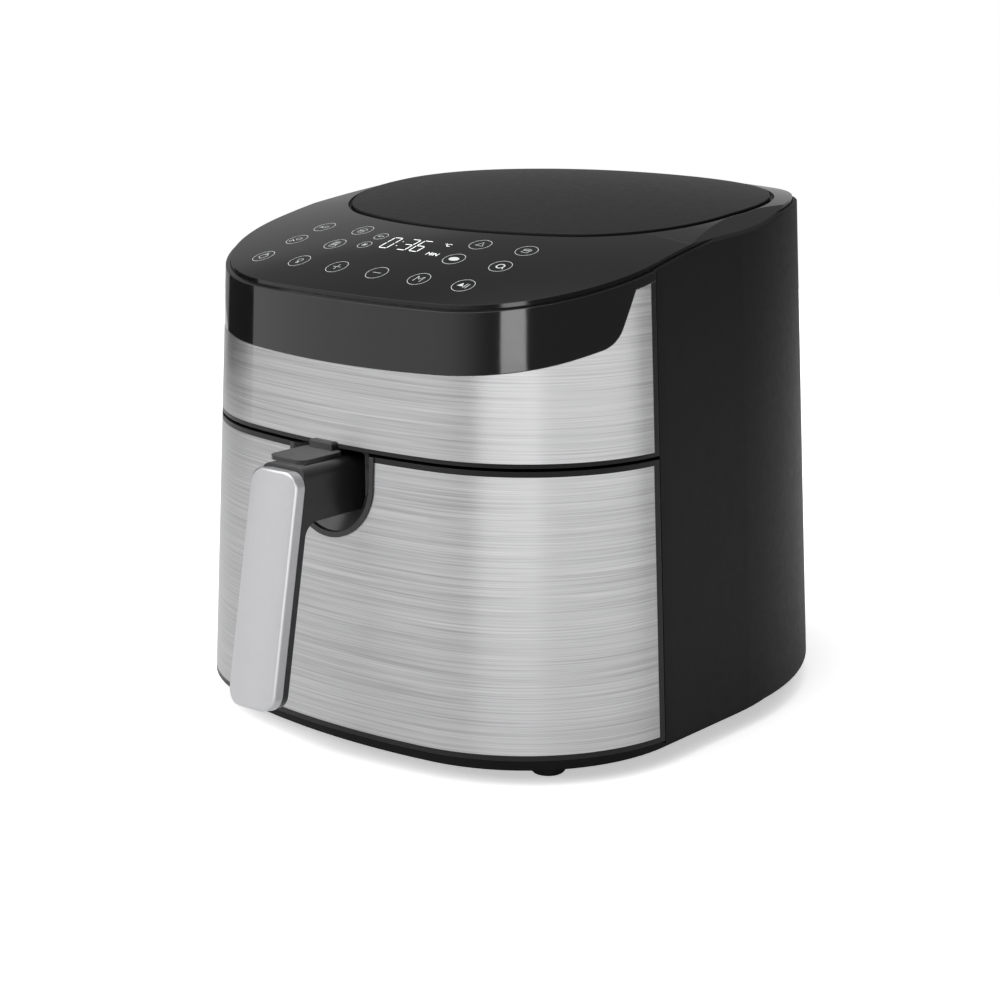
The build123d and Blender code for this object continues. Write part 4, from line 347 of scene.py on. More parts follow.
class Finishes(Enum):
    """Every finish on the fryer, each by its common name."""

    # Black ABS from a spark-eroded tool: an even satin that softens reflections and hides scratches.
    SATIN_ABS = Finish(
        "satin_black_abs", "#121213", Surface.MOULDED, 0.5, grain_mm=1.1, depth_mm=0.012,
        contrast=0.12, rough_spread=0.05, edge_mm=0.6, specular=0.13,
    )
    # Black ABS from a polished tool: deep black with sharp, slightly wavy reflections.
    GLOSS_ABS = Finish(
        "gloss_black_abs", "#0c0c0d", Surface.POLISHED, 0.09, grain_mm=9.0, depth_mm=0.004,
        contrast=0.05, rough_spread=0.02, edge_mm=0.6,
    )
    # Black-backed acrylic touch sheet: flatter and glossier than the band round it.
    TOUCH_ACRYLIC = Finish(
        "black_backed_acrylic", "#09090a", Surface.POLISHED, 0.12, grain_mm=14.0, depth_mm=0.003,
        contrast=0.05, rough_spread=0.02, edge_mm=0.5, ior=1.49, specular=0.35,
    )
    # Lid of black ABS, fine matt: broad, dim highlights.
    MATT_ABS = Finish(
        "matt_black_abs", "#111112", Surface.MOULDED, 0.45, grain_mm=0.9, depth_mm=0.01,
        contrast=0.1, rough_spread=0.05, edge_mm=1.2, specular=0.19,
    )
    # Trim strips in the same ABS, plainer.
    TRIM_ABS = Finish(
        "trim_black_abs", "#0f0f10", Surface.MOULDED, 0.4, grain_mm=1.0, depth_mm=0.01,
        contrast=0.1, rough_spread=0.04, edge_mm=0.5, specular=0.3,
    )
    # Surround of the handle notch: a satin ABS that shows a line of light on its lip.
    BEZEL_ABS = Finish(
        "bezel_black_abs", "#1a1a1b", Surface.MOULDED, 0.32, grain_mm=0.9, depth_mm=0.008,
        contrast=0.1, rough_spread=0.04, edge_mm=0.7,
    )
    # Handle core and neck: glass-filled nylon, a dense satin black.
    HANDLE_NYLON = Finish(
        "satin_black_nylon", "#18181a", Surface.MOULDED, 0.34, grain_mm=0.8, depth_mm=0.008,
        contrast=0.1, rough_spread=0.04, edge_mm=0.9,
    )
    # Inner PP walls: dull, slightly translucent black.
    INNER_PP = Finish(
        "inner_black_polypropylene", "#202022", Surface.MOULDED, 0.55, grain_mm=1.2, depth_mm=0.01
    )
    # Stainless sheet, belt brushed: long level lines that catch the light in upright bands.
    BRUSHED_STEEL = Finish(
        "brushed_stainless_steel", "#bcbcbd", Surface.BRUSHED, 0.38, metallic=1.0, grain_mm=0.85,
        depth_mm=0.006, contrast=0.42, rough_spread=0.08, edge_mm=0.3, anisotropy=0.6, unevenness=0.15,
    )
    # Anodised aluminium grip, bead blasted: silky, with slow gradients and no lines.
    SILVER_GRIP = Finish(
        "satin_anodised_aluminium", "#bcbcbe", Surface.BLASTED, 0.36, metallic=1.0, grain_mm=0.7,
        depth_mm=0.003, contrast=0.05, rough_spread=0.04, edge_mm=0.5,
    )
    # Soft rubber: dull and a little dusty.
    RUBBER = Finish(
        "black_rubber", "#1a1a1a", Surface.MOULDED, 0.78, grain_mm=0.8, depth_mm=0.02, contrast=0.2
    )
    # Non-stick coat on pan and basket: dark grey, faintly speckled by the spray.
    NON_STICK = Finish(
        "grey_non_stick_coat", "#2b2b2d", Surface.SPRAYED, 0.38, grain_mm=0.9, depth_mm=0.015,
        contrast=0.3,
    )
    # Zinc-coated sheet of the chassis and liner.
    ZINC_SHEET = Finish(
        "zinc_coated_sheet", "#b3b5b6", Surface.BLASTED, 0.4, metallic=1.0, grain_mm=6.0,
        depth_mm=0.004, contrast=0.2,
    )
    # Zinc-plated screws.
    SCREW_STEEL = Finish(
        "zinc_plated_steel", "#bcbcb8", Surface.BLASTED, 0.32, metallic=1.0, grain_mm=0.6, contrast=0.15
    )
    # Heater sheath: oxidised nickel steel, dull and slightly brown.
    HEATER_STEEL = Finish(
        "oxidised_heater_steel", "#6d6862", Surface.SPRAYED, 0.5, metallic=1.0, grain_mm=2.0, contrast=0.3
    )
    # Steatite insulators: off-white and dry.
    CERAMIC = Finish("steatite_ceramic", "#dcd8cc", Surface.SPRAYED, 0.6, grain_mm=1.0, contrast=0.1)
    # Motor laminations and can: plain drawn steel with a light oil film.
    MOTOR_STEEL = Finish(
        "drawn_motor_steel", "#8e9093", Surface.BLASTED, 0.36, metallic=1.0, grain_mm=1.0, contrast=0.15
    )
    # Pressed aluminium fan blades.
    FAN_ALUMINIUM = Finish(
        "pressed_aluminium", "#c4c6c8", Surface.BLASTED, 0.34, metallic=1.0, grain_mm=1.5, contrast=0.1
    )
    # Fibreglass circuit board with green solder mask.
    SOLDER_MASK = Finish(
        "green_solder_mask", "#1e4a2f", Surface.SPRAYED, 0.35, grain_mm=1.2, contrast=0.35
    )
    # Screen print behind the touch sheet, lit from the back.
    PANEL_INK = Finish(
        "backlit_white_ink", "#c9cbcc", Surface.PRINTED, 0.5, grain_mm=0.5, depth_mm=0.001,
        contrast=0.05, glow=0.25,
    )
    # Digits of the display, brighter than the print.
    DIGIT_LIGHT = Finish(
        "led_digit_light", "#f4f6f7", Surface.PRINTED, 0.5, grain_mm=0.5, depth_mm=0.001,
        contrast=0.03, glow=0.7,
    )


SLOT_FINISH: dict[str, Finishes] = {
    "housing_black": Finishes.SATIN_ABS,
    "gloss_black": Finishes.GLOSS_ABS,
    "touch_glass": Finishes.TOUCH_ACRYLIC,
    "lid_black": Finishes.MATT_ABS,
    "trim_black": Finishes.TRIM_ABS,
    "bezel_black": Finishes.BEZEL_ABS,
    "handle_black": Finishes.HANDLE_NYLON,
    "inner_plastic": Finishes.INNER_PP,
    "brushed_steel": Finishes.BRUSHED_STEEL,
    "grip_silver": Finishes.SILVER_GRIP,
    "rubber_black": Finishes.RUBBER,
    "coated_steel": Finishes.NON_STICK,
    "sheet_metal": Finishes.ZINC_SHEET,
    "screw_steel": Finishes.SCREW_STEEL,
    "heater_steel": Finishes.HEATER_STEEL,
    "ceramic_white": Finishes.CERAMIC,
    "motor_steel": Finishes.MOTOR_STEEL,
    "fan_aluminium": Finishes.FAN_ALUMINIUM,
    "circuit_board": Finishes.SOLDER_MASK,
}


@dataclass
class Wardrobe:
    """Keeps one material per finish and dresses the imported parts."""

    made: dict[Finishes, bpy.types.Material]

    def material(self, finish: Finishes) -> bpy.types.Material:
        """Look up a material, which is made on its first use.

        Args:
            finish: the finish that it shows.

        Returns:
            The finish's one material.
        """
        if finish not in self.made:
            self.made[finish] = finish.value.build()
        return self.made[finish]

    def dress_parts(self) -> None:
        """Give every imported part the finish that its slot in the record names."""
        for subpart in frame["record"]["subparts"]:
            finish = SLOT_FINISH[subpart["material_slot"]]
            part = frame["nodes"][subpart["node"]]
            for slot in part.material_slots:
                slot.material = self.material(finish)
            if not part.material_slots:
                dress(part, self.material(finish))
            LOG.info("%s wears %s", subpart["node"], finish.value.name)


# ------------------------------------------------------------------ touch panel
class Symbol(Enum):
    """Generic signs on the touch panel."""

    POWER = "power"
    DRUMSTICK = "drumstick"
    PLUS = "+"
    MINUS = "−"
    MENU = "M"
    PLAY = "play"
    FISH = "fish"
    CAKE = "cake"
    LAMP = "lamp"
    STEAK = "steak"
    PIZZA = "pizza"
    FRIES = "fries"
    SHRIMP = "shrimp"
    FAN = "fan"
    LEAF = "leaf"
    BREAD = "bread"


class Shape(Enum):
    """Shapes that the signs are drawn with."""

    RING = "ring"
    BOX = "outline of a box"
    DISC = "disc or its outline"
    TRIANGLE = "triangle or its outline"
    LEVEL_BAR = "bar from left to right"
    UPRIGHT_BAR = "bar from front to back"


@dataclass(frozen=True)
class Stroke:
    """One shape of a sign, measured in reaches, where a reach is half the sign's size.

    Attributes:
        shape: what it is.
        x: its middle to the right of the sign's middle.
        y: its middle behind the sign's middle.
        length: its width over all, or the length of a bar.
        width: its depth over all, for a box, a disc or a triangle.
        lines: width of the line of a ring or a bar, in lines of a sign.
        turn: turn of a bar, in degrees.
        filled: whether a disc or a triangle is more than an outline.
    """

    shape: Shape
    x: float
    y: float
    length: float
    width: float = 0.0
    lines: float = 1.0
    turn: float = 0.0
    filled: bool = False


SIGN_STROKES: dict[Symbol, tuple[Stroke, ...]] = {
    Symbol.POWER: (
        Stroke(Shape.RING, 0.0, 0.0, 1.5),
        Stroke(Shape.UPRIGHT_BAR, 0.0, 0.8, 0.9, lines=1.4),
    ),
    Symbol.DRUMSTICK: (
        Stroke(Shape.DISC, 0.3, 0.2, 1.1, 0.88),
        Stroke(Shape.LEVEL_BAR, -0.45, -0.35, 0.9, lines=1.4, turn=35.0),
        Stroke(Shape.DISC, -0.85, -0.6, 0.4, 0.4),
    ),
    Symbol.PLUS: (
        Stroke(Shape.LEVEL_BAR, 0.0, 0.0, 1.5),
        Stroke(Shape.UPRIGHT_BAR, 0.0, 0.5, 0.55),
        Stroke(Shape.UPRIGHT_BAR, 0.0, -0.5, 0.55),
    ),
    Symbol.MINUS: (Stroke(Shape.LEVEL_BAR, 0.0, 0.0, 1.5),),
    Symbol.MENU: (
        Stroke(Shape.UPRIGHT_BAR, -0.6, 0.0, 1.5),
        Stroke(Shape.UPRIGHT_BAR, -0.28, 0.28, 0.85, turn=-32.0),
        Stroke(Shape.UPRIGHT_BAR, 0.6, 0.0, 1.5),
        Stroke(Shape.UPRIGHT_BAR, 0.28, 0.28, 0.85, turn=32.0),
    ),
    Symbol.PLAY: (
        Stroke(Shape.TRIANGLE, -0.4, 0.0, 1.24, 1.24, filled=True),
        Stroke(Shape.UPRIGHT_BAR, 0.35, 0.0, 1.2, lines=1.2),
        Stroke(Shape.UPRIGHT_BAR, 0.75, 0.0, 1.2, lines=1.2),
    ),
    Symbol.FISH: (
        Stroke(Shape.DISC, 0.15, 0.0, 1.4, 0.7),
        Stroke(Shape.TRIANGLE, -0.75, 0.0, 0.8, 0.8),
    ),
    Symbol.CAKE: (
        Stroke(Shape.DISC, 0.0, 0.25, 1.5, 0.825),
        Stroke(Shape.BOX, 0.0, -0.5, 1.1, 0.6),
    ),
    Symbol.LAMP: (
        Stroke(Shape.DISC, 0.0, 0.2, 1.0, 1.0),
        Stroke(Shape.BOX, 0.0, -0.55, 0.5, 0.35),
    ),
    Symbol.STEAK: (Stroke(Shape.DISC, 0.0, 0.0, 1.8, 1.17, filled=True),),
    Symbol.PIZZA: (Stroke(Shape.TRIANGLE, 0.0, 0.0, 1.7, 1.7),),
    Symbol.FRIES: (
        Stroke(Shape.UPRIGHT_BAR, -0.5, 0.35, 1.1, turn=6.0),
        Stroke(Shape.UPRIGHT_BAR, -0.17, 0.35, 1.1, turn=2.04),
        Stroke(Shape.UPRIGHT_BAR, 0.17, 0.35, 1.1, turn=-2.04),
        Stroke(Shape.UPRIGHT_BAR, 0.5, 0.35, 1.1, turn=-6.0),
        Stroke(Shape.BOX, 0.0, -0.55, 1.3, 0.7),
    ),
    Symbol.SHRIMP: (
        Stroke(Shape.RING, 0.0, 0.0, 1.4, lines=2.0),
        Stroke(Shape.LEVEL_BAR, 0.75, -0.5, 0.5, lines=1.5, turn=60.0),
    ),
    Symbol.FAN: tuple(
        Stroke(Shape.LEVEL_BAR, 0.0, 0.0, 1.5, lines=1.2, turn=turn) for turn in (0.0, 60.0, 120.0)
    ),
    Symbol.LEAF: (
        Stroke(Shape.DISC, 0.0, 0.0, 1.6, 0.72),
        Stroke(Shape.LEVEL_BAR, -0.7, 0.0, 0.7, turn=10.0),
    ),
    Symbol.BREAD: (
        Stroke(Shape.BOX, 0.0, -0.2, 1.2, 0.9),
        Stroke(Shape.DISC, 0.0, 0.3, 1.4, 0.7),
    ),
}


# The lit bars of each digit: -1 is its left side or its foot, 0 its middle and 1 its right side or its top.
DIGIT_LEVEL_BARS: dict[str, tuple[int, ...]] = {"0": (-1, 1), "3": (-1, 0, 1), "6": (-1, 0, 1)}
DIGIT_UPRIGHT_BARS: dict[str, tuple[tuple[int, int], ...]] = {
    "0": ((-1, -1), (-1, 1), (1, -1), (1, 1)),
    "3": ((1, -1), (1, 1)),
    "6": ((-1, -1), (-1, 1), (1, -1)),
}


@dataclass
class PanelPrint:
    """The signs, letters and digits that show on the touch panel.

    Attributes:
        ring_mm: diameter of the thin ring round a touch field.
        small_mm: diameter of a small field without a key.
        line_mm: width of the printed lines.
        digit_mm: height of the display's digits.
        digit_width_mm: width of a digit.
        digit_step_mm: spacing of the digits.
        display_mm: middle of the display from the middle of the sheet's front edge.
        unit_mm: height of the units beside them.
        proud_mm: height of the print over the sheet.
        key_share: half the size of a sign as a share of its field's diameter.
        key_line: line of a sign, in widths of the printed lines.
        digit_line: line of a digit, in widths of the printed lines.
        digit_gap: how much shorter the bars of a digit are than its sides, in widths of its line.
        colon_share: half the distance of the colon's dots as a share of a digit's height.
        ring_sides: how many corners a ring has.
        disc_sides: how many corners a disc has.
        start_mm: how high over the sheet the print is laid out before it is lowered on it.
        level: that height above the stand, in metres.
    """

    ring_mm: float = 12.4
    small_mm: float = 8.2
    line_mm: float = 0.28
    digit_mm: float = 13.5
    digit_width_mm: float = 5.6
    digit_step_mm: float = 8.6
    display_mm: tuple[float, float] = (-4.3, 57.3)
    unit_mm: float = 3.2
    proud_mm: float = 0.05
    key_share: float = 0.29
    key_line: float = 1.3
    digit_line: float = 2.2
    digit_gap: float = 1.4
    colon_share: float = 0.2
    ring_sides: int = 48
    disc_sides: int = 24
    start_mm: float = 20.0
    level: float = 0.0

    def fields(self) -> list[tuple[Symbol, float, float, float]]:
        """List the touch fields of the panel.

        Returns:
            Each sign, its place to the right and to the back of the middle of the sheet's front edge, and the
            diameter of its ring, all in millimetres.
        """
        ring, small = self.ring_mm, self.small_mm
        return [
            (Symbol.POWER, -85.9, 31.5, ring),
            (Symbol.LAMP, -54.6, 27.8, ring),
            (Symbol.PLUS, -23.6, 24.6, ring),
            (Symbol.MINUS, 6.3, 23.4, ring),
            (Symbol.MENU, 35.2, 23.8, ring),
            (Symbol.PLAY, 63.5, 25.6, ring),
            (Symbol.DRUMSTICK, -82.8, 54.3, ring),
            (Symbol.FRIES, -49.7, 50.2, ring),
            (Symbol.FAN, -29.5, 52.1, small),
            (Symbol.STEAK, 37.0, 48.8, ring),
            (Symbol.SHRIMP, 67.3, 50.1, ring),
            (Symbol.FISH, -79.9, 73.2, ring),
            (Symbol.CAKE, -47.9, 70.2, ring),
            (Symbol.LEAF, -28.4, 64.0, small),
            (Symbol.PIZZA, 37.9, 68.8, ring),
            (Symbol.BREAD, 67.3, 71.0, ring),
        ]

    def digits(self) -> list[tuple[str, float]]:
        """List each digit with its place from the display's middle, in digit steps."""
        return [("0", -1.25), (":", -0.5), ("3", 0.25), ("6", 1.25)]

    def units(self) -> list[tuple[str, str, float, float]]:
        """List each unit's piece, words and place from the middle of the sheet's front edge."""
        return [("unit_degrees", "°C", 20.7, 60.9), ("unit_minutes", "MIN", 20.9, 48.7)]

    def add_disc(
        self, x: float, y: float, radius: float, squash: float, sides: int, filled: bool
    ) -> None:
        """Add a disc, an ellipse or its outline to the mesh being edited.

        Args:
            x: place to the right, in metres.
            y: place to the back, in metres.
            radius: half its width, in metres.
            squash: its depth as a share of its width.
            sides: how many corners it has.
            filled: whether it is more than an outline.
        """
        at = (x, y, self.level)
        bpy.ops.mesh.primitive_circle_add(vertices=sides, radius=radius, fill_type="NGON", location=at)
        bpy.ops.transform.resize(value=(1, squash, 1), center_override=at)
        if not filled:
            self.hollow_out(self.line_mm * MM)

    def hollow_out(self, line: float) -> None:
        """Leave only the outline of the selected face, of the given width in metres."""
        bpy.ops.mesh.inset(thickness=line)
        bpy.ops.mesh.delete(type="FACE")

    def add_ring(self, x: float, y: float, radius: float, line: float) -> None:
        """Add a ring to the mesh being edited.

        Args:
            x: place to the right, in metres.
            y: place to the back, in metres.
            radius: half its width, in metres.
            line: width of its line, in metres.
        """
        at = (x, y, self.level)
        bpy.ops.mesh.primitive_circle_add(
            vertices=self.ring_sides, radius=radius, fill_type="NGON", location=at
        )
        self.hollow_out(line)

    def add_box(self, x: float, y: float, length: float, width: float) -> None:
        """Add the outline of a box to the mesh being edited, placed and sized in metres."""
        self.add_bar(x, y, length, width)
        self.hollow_out(self.line_mm * MM)

    def add_bar(self, x: float, y: float, length: float, width: float, turn: float = 0.0) -> None:
        """Add a bar to the mesh being edited.

        Args:
            x: place to the right, in metres.
            y: place to the back, in metres.
            length: size from left to right before its turn, in metres.
            width: size from front to back before its turn, in metres.
            turn: its turn, in degrees.
        """
        at = (x, y, self.level)
        bpy.ops.mesh.primitive_plane_add(size=1, location=at)
        bpy.ops.transform.resize(value=(length, width, 1), center_override=at)
        if turn:
            bpy.ops.transform.rotate(value=math.radians(turn), orient_axis="Z", center_override=at)

    def draw_sign(self, symbol: Symbol, x: float, y: float, reach: float) -> None:
        """Draw one sign around a point, within a square of twice the reach.

        Args:
            symbol: the sign.
            x: its middle to the right, in metres.
            y: its middle to the back, in metres.
            reach: half its size, in metres.
        """
        line = self.line_mm * MM * self.key_line
        for stroke in SIGN_STROKES[symbol]:
            at_x, at_y = x + stroke.x * reach, y + stroke.y * reach
            length, width = stroke.length * reach, stroke.width * reach
            thickness = stroke.lines * line
            if stroke.shape is Shape.RING:
                self.add_ring(at_x, at_y, length / 2, thickness)
            elif stroke.shape is Shape.BOX:
                self.add_box(at_x, at_y, length, width)
            elif stroke.shape is Shape.LEVEL_BAR:
                self.add_bar(at_x, at_y, length, thickness, stroke.turn)
            elif stroke.shape is Shape.UPRIGHT_BAR:
                self.add_bar(at_x, at_y, thickness, length, stroke.turn)
            else:
                sides = 3 if stroke.shape is Shape.TRIANGLE else self.disc_sides
                self.add_disc(at_x, at_y, length / 2, stroke.width / stroke.length, sides, stroke.filled)

    def draw_digit(self, digit: str, x: float, y: float) -> None:
        """Draw one digit of seven lit bars around a point.

        Args:
            digit: 0, 3, 6 or a colon.
            x: its middle to the right, in metres.
            y: its middle to the back, in metres.
        """
        half_width, half_height = self.digit_width_mm / 2 * MM, self.digit_mm / 2 * MM
        stroke = self.line_mm * MM * self.digit_line
        if digit == ":":
            for side in (-1, 1):
                self.add_bar(x, y + side * self.digit_mm * self.colon_share * MM, stroke, stroke)
            return
        gap = self.digit_gap * stroke
        for end in DIGIT_LEVEL_BARS[digit]:
            self.add_bar(x, y + end * half_height, 2 * half_width - gap, stroke)
        for side, end in DIGIT_UPRIGHT_BARS[digit]:
            self.add_bar(x + side * half_width, y + end * half_height / 2, stroke, half_height - gap)

    def lower_on_sheet(self, piece: bpy.types.Object) -> None:
        """Lower the flat print on the curved sheet and give it its thickness.

        Args:
            piece: the print, flat above the sheet.
        """
        apply_modifier(
            piece,
            "SHRINKWRAP",
            target=frame["nodes"]["touch_panel"],
            wrap_method="PROJECT",
            use_project_z=True,
            use_negative_direction=True,
            use_positive_direction=False,
            offset=self.proud_mm * MM,
        )
        apply_modifier(piece, "SOLIDIFY", thickness=self.proud_mm * MM / 2, offset=-1.0)

    def add_text(self, words: str, x: float, y: float) -> bpy.types.Object:
        """Add a line of generic lettering, centred on a point.

        Args:
            words: what it says.
            x: its middle to the right, in metres.
            y: its foot, in metres.

        Returns:
            The lettering as a mesh.
        """
        deselect_all()
        bpy.ops.object.text_add(location=(x, y, self.level))
        text = bpy.context.object
        text.data.body = words
        # Capitals of the built-in face are 0.7 of its size.
        text.data.size = self.unit_mm * MM / 0.7
        text.data.align_x = "CENTER"
        text.data.resolution_u = 4
        bpy.ops.object.convert(target="MESH")
        return text

    def start_print(self, name: str, front: float) -> bpy.types.Object:
        """Open an empty mesh for editing above the sheet.

        Args:
            name: the piece's name.
            front: place of the sheet's front edge, in metres.

        Returns:
            The empty piece, in edit mode.
        """
        deselect_all()
        bpy.ops.mesh.primitive_circle_add(vertices=3, radius=MM, location=(0, front, self.level))
        piece = bpy.context.object
        piece.name = name
        bpy.ops.object.mode_set(mode="EDIT")
        bpy.ops.mesh.select_all(action="SELECT")
        bpy.ops.mesh.delete(type="VERT")
        bpy.ops.mesh.select_mode(type="FACE")
        return piece

    def finish_print(self, piece: bpy.types.Object, material: bpy.types.Material) -> None:
        """Lay a finished print on the sheet, as a piece of the housing.

        Args:
            piece: the print, flat above the sheet.
            material: its ink or light.
        """
        apply_place(piece)
        self.lower_on_sheet(piece)
        dress(piece, material)
        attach(piece, "housing")
        LOG.info("%s is on the touch panel", piece.name)

    def build(self, wardrobe: Wardrobe) -> None:
        """Model the signs, the digits and their units and lay them on the sheet.

        Args:
            wardrobe: where the materials come from.
        """
        low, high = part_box("touch_panel")
        self.level = high.z + self.start_mm * MM
        signs = self.start_print("panel_signs", low.y)
        for symbol, x_mm, y_mm, across_mm in self.fields():
            x, y = x_mm * MM, low.y + y_mm * MM
            self.add_ring(x, y, across_mm / 2 * MM, self.line_mm * MM)
            self.draw_sign(symbol, x, y, across_mm * self.key_share * MM)
        self.finish_print(signs, wardrobe.material(Finishes.PANEL_INK))
        digits = self.start_print("display_digits", low.y)
        for digit, step in self.digits():
            x_mm, y_mm = self.display_mm
            self.draw_digit(digit, (x_mm + step * self.digit_step_mm) * MM, low.y + y_mm * MM)
        self.finish_print(digits, wardrobe.material(Finishes.DIGIT_LIGHT))
        for name, words, x_mm, y_mm in self.units():
            unit = self.add_text(words, x_mm * MM, low.y + y_mm * MM)
            unit.name = name
            self.finish_print(unit, wardrobe.material(Finishes.DIGIT_LIGHT))


# ------------------------------------------------------------------ stage
@dataclass(frozen=True)
class Softbox:
    """One soft light.

    Attributes:
        name: what it is.
        place: its middle, in metres.
        size: its width and height, in metres.
        watts: its power.
        aim: point that it faces, in metres.
        only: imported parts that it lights, or none for all of them.
    """

    name: str
    place: tuple[float, float, float]
    size: tuple[float, float]
    watts: float
    aim: tuple[float, float, float] = (0.0, 0.0, 0.14)
    only: tuple[str, ...] = ()

    def hang(self) -> None:
        """Put the light in the scene, out of the camera's sight."""
        lamp = bpy.data.lights.new(self.name, "AREA")
        lamp.shape = "RECTANGLE"
        lamp.size, lamp.size_y = self.size
        lamp.energy = self.watts
        box = bpy.data.objects.new(self.name, lamp)
        bpy.context.scene.collection.objects.link(box)
        box.location = self.place
        box.rotation_euler = (Vector(self.aim) - Vector(self.place)).to_track_quat("-Z", "Y").to_euler()
        box.visible_camera = False
        if self.only:
            group = bpy.data.collections.new(f"{self.name}_group")
            for part in self.only:
                group.objects.link(frame["nodes"][part])
            box.light_linking.receiver_collection = group
        LOG.info("%s hangs", self.name)


@dataclass
class Studio:
    """Floor, lights and camera of a plain product shot.

    Attributes:
        floor_radius: reach of the floor, in metres.
        floor_glow: light that the floor adds in the camera's sight, which thins the shadows on it.
        flag_middle: middle of the dark card at the left, in metres.
        flag_size: its height and width, in metres.
        eye: place of the camera, in metres.
        aim: point that it looks at, in metres.
        lens_mm: focal length on a 36 mm frame.
        sun_strength: strength of the sun.
        sun_spread: how wide the sun looks, in degrees.
        sun_turn: its turn about the X and Y axes, in degrees.
    """

    floor_radius: float = 1.5
    floor_glow: float = 0.5
    flag_middle: tuple[float, float, float] = (-0.36, -0.15, 0.205)
    flag_size: tuple[float, float] = (0.13, 0.22)
    eye: tuple[float, float, float] = (0.8006, -0.9611, 0.4281)
    aim: tuple[float, float, float] = (0.0, -0.0108, 0.1106)
    lens_mm: float = 81.1
    sun_strength: float = 1.9
    sun_spread: float = 70.0
    sun_turn: tuple[float, float] = (28.0, -22.0)

    def add_floor(self) -> None:
        """Lay a plain pale floor."""
        deselect_all()
        bpy.ops.mesh.primitive_circle_add(vertices=96, radius=self.floor_radius, fill_type="NGON")
        floor = bpy.context.object
        floor.name = "studio_floor"
        material = bpy.data.materials.new("pale_paper_sweep")
        material.use_nodes = True
        shader = material.node_tree.nodes["Principled BSDF"]
        shader.inputs["Base Color"].default_value = linear("#f4f4f4")
        shader.inputs["Roughness"].default_value = 0.9
        shader.inputs["Specular IOR Level"].default_value = 0.1
        shader.inputs["Emission Color"].default_value = linear("#ffffff")
        path = add_node(material.node_tree, "ShaderNodeLightPath")
        glow = add_node(
            material.node_tree,
            "ShaderNodeMath",
            {1: self.floor_glow},
            {0: path.outputs["Is Camera Ray"]},
            operation="MULTIPLY",
        )
        material.node_tree.links.new(glow.outputs["Value"], shader.inputs["Emission Strength"])
        dress(floor, material)
        LOG.info("%s is laid", floor.name)

    def add_flag(self) -> None:
        """Stand a dark card at the left that shows in reflections alone."""
        deselect_all()
        bpy.ops.mesh.primitive_grid_add(size=1, location=self.flag_middle)
        flag = bpy.context.object
        flag.name = "black_flag"
        flag.scale = (*self.flag_size, 1.0)
        flag.rotation_euler = (0, math.radians(90), 0)
        apply_place(flag)
        material = bpy.data.materials.new("black_felt")
        material.use_nodes = True
        shader = material.node_tree.nodes["Principled BSDF"]
        shader.inputs["Base Color"].default_value = linear("#454545")
        shader.inputs["Roughness"].default_value = 1.0
        dress(flag, material)
        flag.visible_camera = False
        flag.visible_diffuse = False
        flag.visible_shadow = False
        LOG.info("%s stands", flag.name)

    def add_band(
        self,
        tree: bpy.types.NodeTree,
        height: bpy.types.NodeSocket,
        low: float,
        high: float,
        below: float,
        above: float,
    ) -> bpy.types.NodeSocket:
        """Add light that changes with height over the horizon.

        Args:
            tree: the world's node tree.
            height: the direction's rise, from -1 to 1.
            low: rise where the change starts.
            high: rise where it ends.
            below: strength under the change.
            above: strength over it.

        Returns:
            The output that holds the strength.
        """
        values = {"From Min": low, "From Max": high, "To Min": below, "To Max": above}
        links = {"Value": height}
        band = add_node(tree, "ShaderNodeMapRange", values, links, interpolation_type="SMOOTHSTEP")
        return band.outputs["Result"]

    def add_glow(
        self,
        tree: bpy.types.NodeTree,
        way: bpy.types.NodeSocket,
        toward: tuple[float, float, float],
        edge: float,
        core: float,
        strength: float,
    ) -> bpy.types.NodeSocket:
        """Add a soft round glow, given the cosines of its edge and of its full core."""
        near = add_node(tree, "ShaderNodeVectorMath", {1: toward}, {0: way}, operation="DOT_PRODUCT")
        return self.add_band(tree, near.outputs["Value"], edge, core, 0.0, strength)

    def add_world(self) -> None:
        """Fill the room with soft light, which the camera sees as plain white.

        It is bright overhead and glows at the front left and, faintly, at the back left.
        """
        world = bpy.data.worlds.new("studio_room")
        bpy.context.scene.world = world
        world.use_nodes = True
        tree = world.node_tree
        back = tree.nodes["Background"]
        way = add_node(tree, "ShaderNodeTexCoord").outputs["Generated"]
        split = add_node(tree, "ShaderNodeSeparateXYZ", links={"Vector": way})
        height = split.outputs["Z"]
        parts = [
            self.add_band(tree, height, low=0.62, high=0.9, below=0.25, above=1.2),
            self.add_glow(tree, way, toward=(-0.707, 0.707, 0.0), edge=0.87, core=0.895, strength=0.15),
            self.add_glow(tree, way, toward=(-0.65, -0.76, -0.1), edge=0.5, core=0.95, strength=0.9),
        ]
        light = parts[0]
        for part in parts[1:]:
            light = add_node(tree, "ShaderNodeMath", links={0: light, 1: part}).outputs["Value"]
        path = add_node(tree, "ShaderNodeLightPath")
        seen = add_node(
            tree,
            "ShaderNodeMix",
            {"B": 1.0},
            {"Factor": path.outputs["Is Camera Ray"], "A": light},
            data_type="FLOAT",
        )
        tree.links.new(seen.outputs["Result"], back.inputs["Strength"])
        back.inputs["Color"].default_value = (1.0, 1.0, 1.0, 1.0)

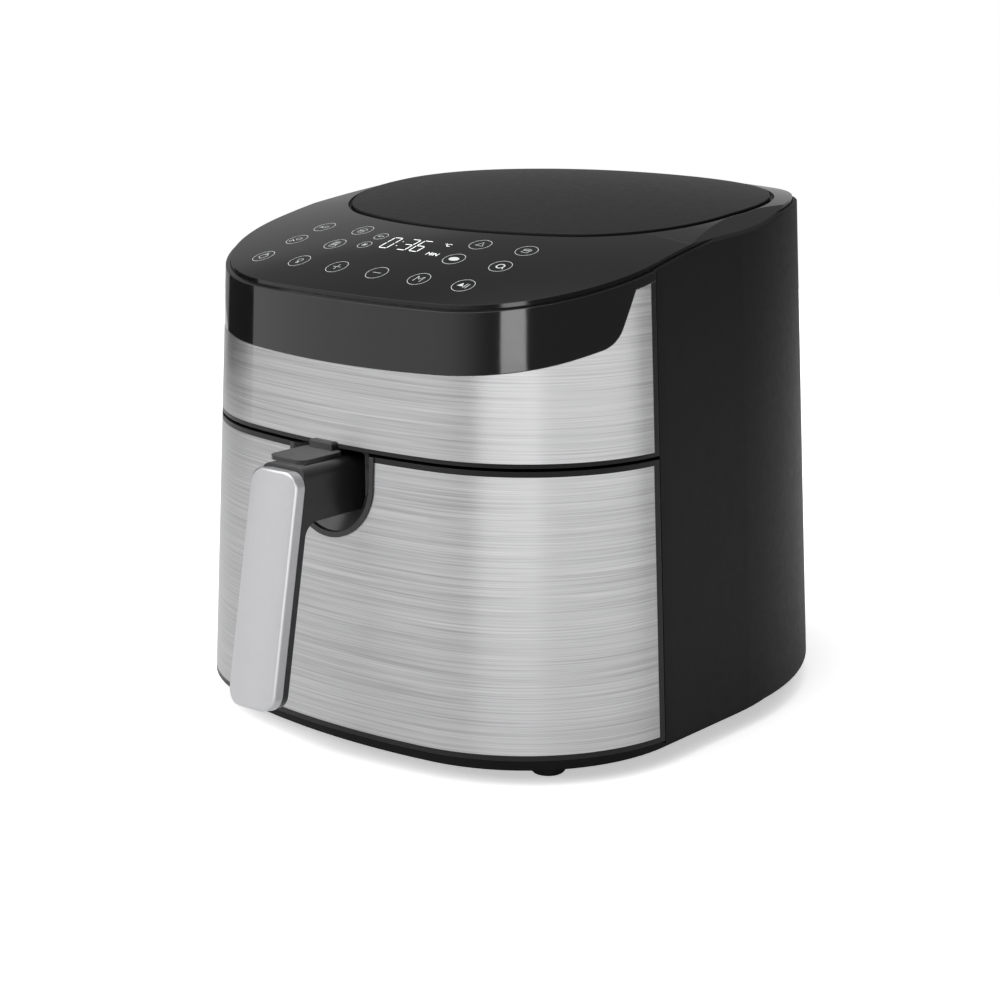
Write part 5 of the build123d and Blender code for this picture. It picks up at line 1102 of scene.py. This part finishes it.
    def add_sun(self) -> None:
        """Light the floor evenly with a broad sun."""
        lamp = bpy.data.lights.new("broad_sun", "SUN")
        lamp.energy = self.sun_strength
        lamp.angle = math.radians(self.sun_spread)
        sun = bpy.data.objects.new("broad_sun", lamp)
        bpy.context.scene.collection.objects.link(sun)
        sun.rotation_euler = (*(math.radians(turn) for turn in self.sun_turn), 0)

    def add_camera(self) -> None:
        """Set up the camera."""
        camera = bpy.data.cameras.new("product_camera")
        camera.lens = self.lens_mm
        camera.sensor_width = 36.0
        camera.clip_start = 0.01
        stand = bpy.data.objects.new("product_camera", camera)
        bpy.context.scene.collection.objects.link(stand)
        stand.location = self.eye
        look = Vector(self.aim) - Vector(self.eye)
        stand.rotation_euler = look.to_track_quat("-Z", "Y").to_euler()
        bpy.context.scene.camera = stand

    def lights(self) -> list[Softbox]:
        """List the softboxes, each for the metal or for the gloss that it shows in.

        Returns:
            The softboxes, ready to hang.
        """
        metal = ("upper_steel", "drawer_steel", "grip_cover")
        gloss = ("gloss_band", "touch_panel")
        return [
            Softbox("front_softbox", (0.44, -0.74, 0.4), (0.5, 0.8), 2.0, (0.1, -0.13, 0.4), metal),
            Softbox("right_fill", (0.93, -0.24, 0.3), (1.3, 0.6), 3.5, (0.1, -0.1, 0.2), metal),
            Softbox("band_strip", (1.17, -1.81, 0.8), (0.58, 1.6), 18.0, (0.1, -0.12, 0.8), gloss),
        ]

    def build(self) -> None:
        """Set up the whole stage."""
        bpy.context.scene.view_settings.view_transform = "Standard"
        self.add_floor()
        self.add_flag()
        self.add_world()
        self.add_sun()
        for light in self.lights():
            light.hang()
        # The handle stands close to the steel and would show in it as a dark patch.
        for name in ("handle_arm", "grip_cover", "button_cover"):
            frame["nodes"][name].visible_glossy = False
        self.add_camera()


def main() -> None:
    """Dress the fryer, print its touch panel and set the stage."""
    logging.basicConfig(level=logging.INFO, format="%(message)s")
    wardrobe = Wardrobe({})
    wardrobe.dress_parts()
    PanelPrint().build(wardrobe)
    Studio().build()


if __name__ == "__main__":
    main()
